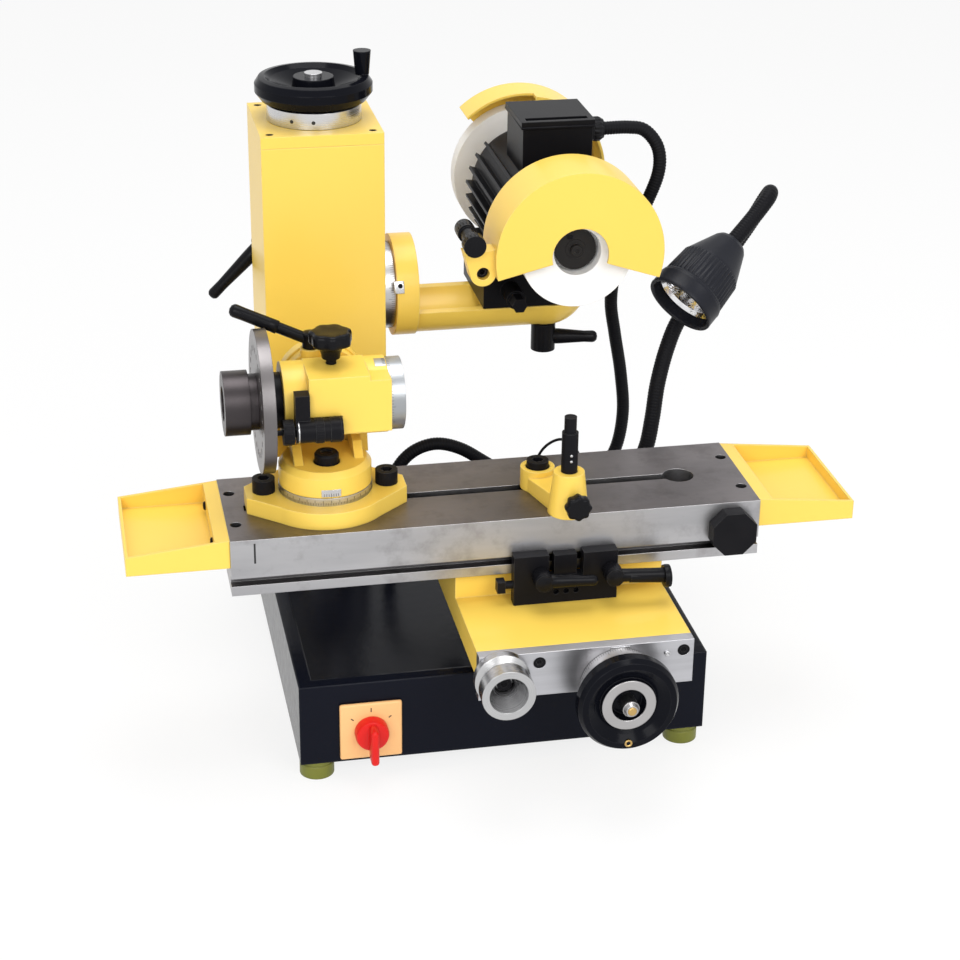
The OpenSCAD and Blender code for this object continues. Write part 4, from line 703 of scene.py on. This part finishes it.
# Index plunger: spring plunger in a black barrel on its bracket, with a ribbed pull knob. The barrel has
# a knurled ring, a lobed ring and a thin bright sleeve, all turned from steel.
dress(black_oxide, "index_bracket", "index_plunger")
for name, low, high, radius, teeth, tooth_depth, body in (
        ("plunger_pull", -0.204, -0.1965, 0.0124, 14, 0.1, "plunger"),
        ("barrel_ring_left", -0.1745, -0.1675, 0.0122, 30, 0.04, "tilt_head"),
        ("barrel_ring_right", -0.1605, -0.1515, 0.0122, 6, 0.04, "tilt_head")):
    cut, wide, ease = ribbed(teeth, tooth_depth), high - low, 0.0008
    turned(name, [(0.008, 0), (radius - ease, 0), (radius, ease, cut), (radius, wide - ease, cut),
                  (radius - ease, wide), (0.008, wide)], here(low, -0.05, 0.349), (1, 0, 0), black_oxide,
           body, sides=120)
sleeve_ring = [(0.0102, 0), (0.0112, 0), (0.0115, 0.0003), (0.0115, 0.0013), (0.0112, 0.0016),
               (0.0102, 0.0016)]
turned("barrel_sleeve", sleeve_ring, here(-0.1915, -0.05, 0.349), (1, 0, 0), bright_steel,
       "tilt_head", sides=72)


# Clamp knob and lever of the work head: moulded black star knob on a waisted neck, and a plain round
# lever with a capped hub and a sleeve pushed over its end.
def star(name, foot, along, profile, lobes, depth, body, node):
    cut = ribbed(lobes, depth)
    shape = [(r, h, cut) if lobed else (r, h) for r, h, lobed in profile]
    knob = turned(name, shape, foot, along, lever_black, body, sides=140, closed=False,
                  crease=50)
    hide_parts(node)


star_outline = [
    (0, 0, 0), (0.005, 0, 0), (0.005, 0.0122, 0), (0.0088, 0.0126, 0), (0.0092, 0.0164, 0),
    (0.0112, 0.0219, 0), (0.0138, 0.0246, 0), (0.018, 0.0256, 1), (0.0205, 0.027, 1), (0.021, 0.0289, 1),
    (0.021, 0.0356, 1), (0.0202, 0.038, 1), (0.0182, 0.0392, 1), (0.0155, 0.0395, 0), (0.008, 0.0388, 0),
    (0, 0.0386, 0)]
star("star_grip", here(-0.153, -0.006, 0.3913), (0, 0, 1), star_outline, 7, 0.1, "star_knob", "tilt_knob")
dress(lever_black, "spindle_lever")
grip_on("spindle_lever_sleeve", here(-0.1987, 0.0339, 0.4218), here(-0.2376, 0.0427, 0.4377), 0.0066,
        0.0066, lever_black, "head_lever", ends=0.15)
turned("spindle_lever_cap", [(0, 0.0028), (0.004, 0.0025), (0.0076, 0.0012), (0.0082, 0)],
       here(-0.168, 0.027, 0.4162), (0, 0, 1), lever_black, "head_lever", sides=40,
       closed=False)


# Tooth rest: small yellow bracket bolted to the table, with a black oxide post that slides up and down.
# A lobed knob in front locks the post, and two bright pins show in its face.
dress(yellow_enamel, "tooth_rest_bracket")
dress(black_oxide, "tooth_rest_post")
rest_outline = [
    (0, -0.008, 0), (0.004, -0.008, 0), (0.004, 0.003, 0), (0.0105, 0.0034, 1), (0.0126, 0.0046, 1),
    (0.013, 0.0062, 1), (0.013, 0.0128, 1), (0.0122, 0.0146, 1), (0.0105, 0.0154, 1), (0.0085, 0.0155, 0),
    (0, 0.0151, 0)]
star("rest_grip", here(0.071, -0.0795, 0.267), (0, -1, 0), rest_outline, 8, 0.12, "rest_knob",
     "tooth_rest_knob")
for k, z in enumerate((0.306, 0.312)):
    turned(f"rest_pin_{k + 1}", [(0, 0.0006), (0.001, 0.0005), (0.0014, 0)], here(0.068, -0.0689, z),
           (0, -1, 0), bright_steel, "rest_post", sides=20, closed=False)


# Column: square sleeve fabricated from plate, with a cap screwed on top, enamelled yellow.
# The lift screw carries a bright steel drum with dark pins and a dished black handwheel above it.
dress(yellow_enamel, "column_sleeve", "column_cap")
dress(black_oxide, "cap_screws")
column_x, column_y = -0.136, 0.219
drum_steel = lathe_marks("drum_steel", "Z", here(column_x, column_y, 0.58), (0.68, 0.68, 0.69),
                         (0.54, 0.54, 0.55), 0.28)
dress(drum_steel, "lift_screw")
for k, turn in enumerate((-35, -8, 172)):
    out = Vector((sin(radians(turn)), -cos(radians(turn)), 0))
    turned(f"lift_drum_pin_{k + 1}", [(0, 0.0004), (0.0016, 0.0004), (0.002, 0)],
           here(column_x, column_y, 0.5795) + out * 0.0474, out, mark_black, "lift", sides=20,
           closed=False)
dress(wheel_black, "lift_handwheel")


# Column lock: moulded black clamp lever on a stud in the back of the sleeve.
# Its tapered handle hangs down to the left, and a round cap closes the hub.
dress(lever_black, "column_lever")
grip_on("column_lock_grip", here(-0.190, 0.2974, 0.4099), here(-0.2375, 0.2988, 0.3615), 0.0078, 0.0062,
        lever_black, "column_lock")
turned("column_lock_cap", [(0, 0.0032), (0.006, 0.0029), (0.0102, 0.0016), (0.0113, 0)],
       here(-0.184, 0.305, 0.416), (0, 1, 0), lever_black, "column_lock", sides=48,
       closed=False)


# Arm: yellow cast bracket that turns against a graduated steel ring on the column.
# A small steel pointer is screwed to its flange, and the clamp lever sits under the motor platform.
dress(yellow_enamel, "arm_casting")
arm_z = 0.39
arm_ring_steel = lathe_marks("arm_ring_steel", "X", here(-0.07, column_y, arm_z), (0.62, 0.62, 0.63),
                             (0.48, 0.48, 0.49), 0.3)
dress(arm_ring_steel, "arm_scale")
scale_round("arm_ring_marks", here(-0.0618, column_y, arm_z), (-1, 0, 0), 0.045, 120, 0.004, 0.0065,
            mark_black, "sleeve")
arm_axis = here(0, column_y, arm_z)
up_the_flange = (Matrix.Translation(arm_axis) @ Matrix.Rotation(radians(-16), 4, "X")
                 @ Matrix.Translation(-arm_axis))
pointer = rounded("arm_pointer", here(-0.064, 0.1648, 0.3835), here(-0.0535, 0.1672, 0.3965), 0.0008,
                  bright_steel, "arm", steps=2)
pointer_screw = socket_head("arm_pointer_screw", here(-0.0578, 0.165, 0.3915), (0, -1, 0), 0.0024, 0.0016,
                            black_oxide, "arm")
for piece in (pointer, pointer_screw):
    piece.data.transform(up_the_flange)
dress(lever_black, "arm_lever")
grip_on("arm_lock_grip", here(0.113, 0.2178, 0.3211), here(0.1574, 0.2112, 0.3202), 0.0084, 0.0064,
        lever_black, "arm_lock")


# Motor: finned cast motor on the platform, painted black, with the terminal box on top. Its lid has a
# thin lip and a long pressed recess, and the conduit screws into a gland on the right.
motor_black = surface("motor_black", (0.004, 0.004, 0.0055), (0.008, 0.008, 0.0095), 0.34, patch=18,
                      grain=700, depth=0.00012, gloss=0.06, soften=0.0012, worn_and_lit_edge=(0.06, 0.06, 0.065))
dress(motor_black, "motor_body", "terminal_box")
gland("terminal_gland", here(0.1415, 0.205, 0.551), (1, 0, 0), 0.0115, "motor")
rounded("lid_lip", here(0.0665, 0.1715, 0.5625), here(0.1435, 0.2535, 0.5652), 0.001, motor_black,
        "motor", steps=2)


# Wheel guards: welded sheet steel covers in yellow enamel. The front one hangs on the motor nose by an
# ear with a socket screw and clamp knobs; the rear one is a hood over the larger wheel.
dress(yellow_enamel, "front_guard", "rear_guard")
dress(lever_black, "guard_knobs")
for name, low, high, radius in (("guard_knob_front", 0.0588, 0.0735, 0.0112),
                                ("guard_knob_back", 0.1, 0.1182, 0.0097)):
    cut = ribbed(18, 0.06)
    long = high - low
    turned(name, [(0, 0), (radius * 0.7, 0), (radius * 0.92, 0.0007, cut), (radius, 0.002, cut),
                  (radius, long - 0.002, cut), (radius * 0.92, long - 0.0007, cut), (radius * 0.7, long),
                  (0, long)], here(-0.002, low, 0.482), (0, 1, 0), lever_black, "guard",
           sides=108, closed=False)
socket_head("guard_ear_screw", here(0.009, 0.0925, 0.449), (0, -1, 0), 0.0061, 0.0135, black_oxide,
            "guard")


# Grinding wheels: white bonded aluminium oxide, pressed and fired, gritty to the touch.
# Black steel flanges clamp them to the two ends of the motor shaft.
grit_white = surface("grit_white", (0.93, 0.925, 0.915), (0.87, 0.865, 0.855), 0.88, patch=60, grain=1800,
                     depth=0.0005, gloss=0.2, soften=0.0008)
dress(grit_white, "front_wheel", "rear_wheel")
flange_black = surface("flange_black", (0.011, 0.0098, 0.0095), (0.02, 0.018, 0.017), 0.4, patch=50,
                       grain=900, gloss=0.15, depth=0.00008, soften=0.0008, worn_and_lit_edge=(0.09, 0.085, 0.08))
dress(flange_black, "wheel_flanges")
dress(post_steel, "motor_shaft")
flange_bolt = [(0, 0.0045), (0.0028, 0.0045, hexagon), (0.0028, 0.0062, hexagon), (0.0052, 0.0062),
               (0.006, 0.0054), (0.006, 0.001), (0.0098, 0.0008), (0.0102, 0)]
turned("flange_bolt", flange_bolt, here(0.105, 0.088, 0.464), (0, -1, 0), flange_black, "rotor",
       sides=60, closed=False)
rounded("flange_key", here(0.096, 0.0868, 0.4745), here(0.102, 0.089, 0.4785), 0.0008, black_oxide,
        "rotor", steps=2)


# Lamp: ribbed plastic head with a mirror reflector and a small halogen bulb, on a jointed gooseneck
# that plugs into the socket on the base.
neck_run = smooth_run(
    [(0.169, 0.150, 0.1226), (0.169, 0.150, 0.140), (0.177, 0.150, 0.160), (0.192, 0.150, 0.184),
     (0.205, 0.150, 0.213), (0.212, 0.155, 0.245), (0.219, 0.165, 0.280), (0.232, 0.180, 0.314),
     (0.249, 0.195, 0.341), (0.279, 0.206, 0.375), (0.309, 0.213, 0.411), (0.331, 0.216, 0.442),
     (0.341, 0.213, 0.462), (0.344, 0.205, 0.473), (0.338, 0.194, 0.470), (0.324, 0.186, 0.457),
     (0.309, 0.177, 0.445), (0.294, 0.169, 0.433)], 0.0008)
neck_corrugation = (0.0081, 0.0084, 0.0085, 0.0084)
neck_radii = [neck_corrugation[i % 4] for i in range(len(neck_run))]
neck = tube("ribbed_gooseneck", rings_along(neck_run, neck_radii, 20), hose_black, "lamp")
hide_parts("gooseneck")
lamp_black = surface("lamp_black", (0.008, 0.009, 0.0135), (0.014, 0.015, 0.021), 0.38, patch=40,
                     grain=1600, depth=0.00005, gloss=0.16, soften=0.0008, worn_and_lit_edge=(0.05, 0.05, 0.055))
dress(lamp_black, "lamp_head")
lamp_aim = Vector((-0.71, -0.43, -0.55))
lamp_back = here(0.294, 0.169, 0.433)
flutes = ribbed(44, 0.03)
turned("lamp_ribs", [(0.0322, 0.0392), (0.0338, 0.04, flutes), (0.036, 0.0695, flutes), (0.0352, 0.0712),
                     (0.034, 0.07)], lamp_back, lamp_aim, lamp_black, "lamp", sides=320,
       closed=False, crease=60)
mouth_ring = [(0.0348, 0.0745), (0.0374, 0.0747), (0.0377, 0.0755), (0.0375, 0.077), (0.0376, 0.089),
              (0.0379, 0.0913), (0.0374, 0.0928), (0.0348, 0.0928), (0.0338, 0.0915), (0.0338, 0.0795)]
turned("lamp_mouth_ring", mouth_ring, lamp_back, lamp_aim, lamp_black, "lamp", sides=96)
mirror = surface("mirror", (0.85, 0.85, 0.86), (0.7, 0.7, 0.72), 0.12, metal=1.0, patch=90, grain=260,
                 depth=0.0004)
dress(mirror, "lamp_reflector")
bulb_white = surface("bulb_white", (0.8, 0.8, 0.78), (0.7, 0.7, 0.68), 0.2, patch=90, grain=900,
                     depth=0.00003, coat=0.4)
bulb = [(0, 0.058), (0.0022, 0.0572), (0.0046, 0.0545), (0.0056, 0.0505), (0.005, 0.046), (0.0042, 0.0425),
        (0.0042, 0.034)]
turned("lamp_bulb", bulb, lamp_back, lamp_aim, bulb_white, "lamp", sides=40, closed=False,
       crease=70)
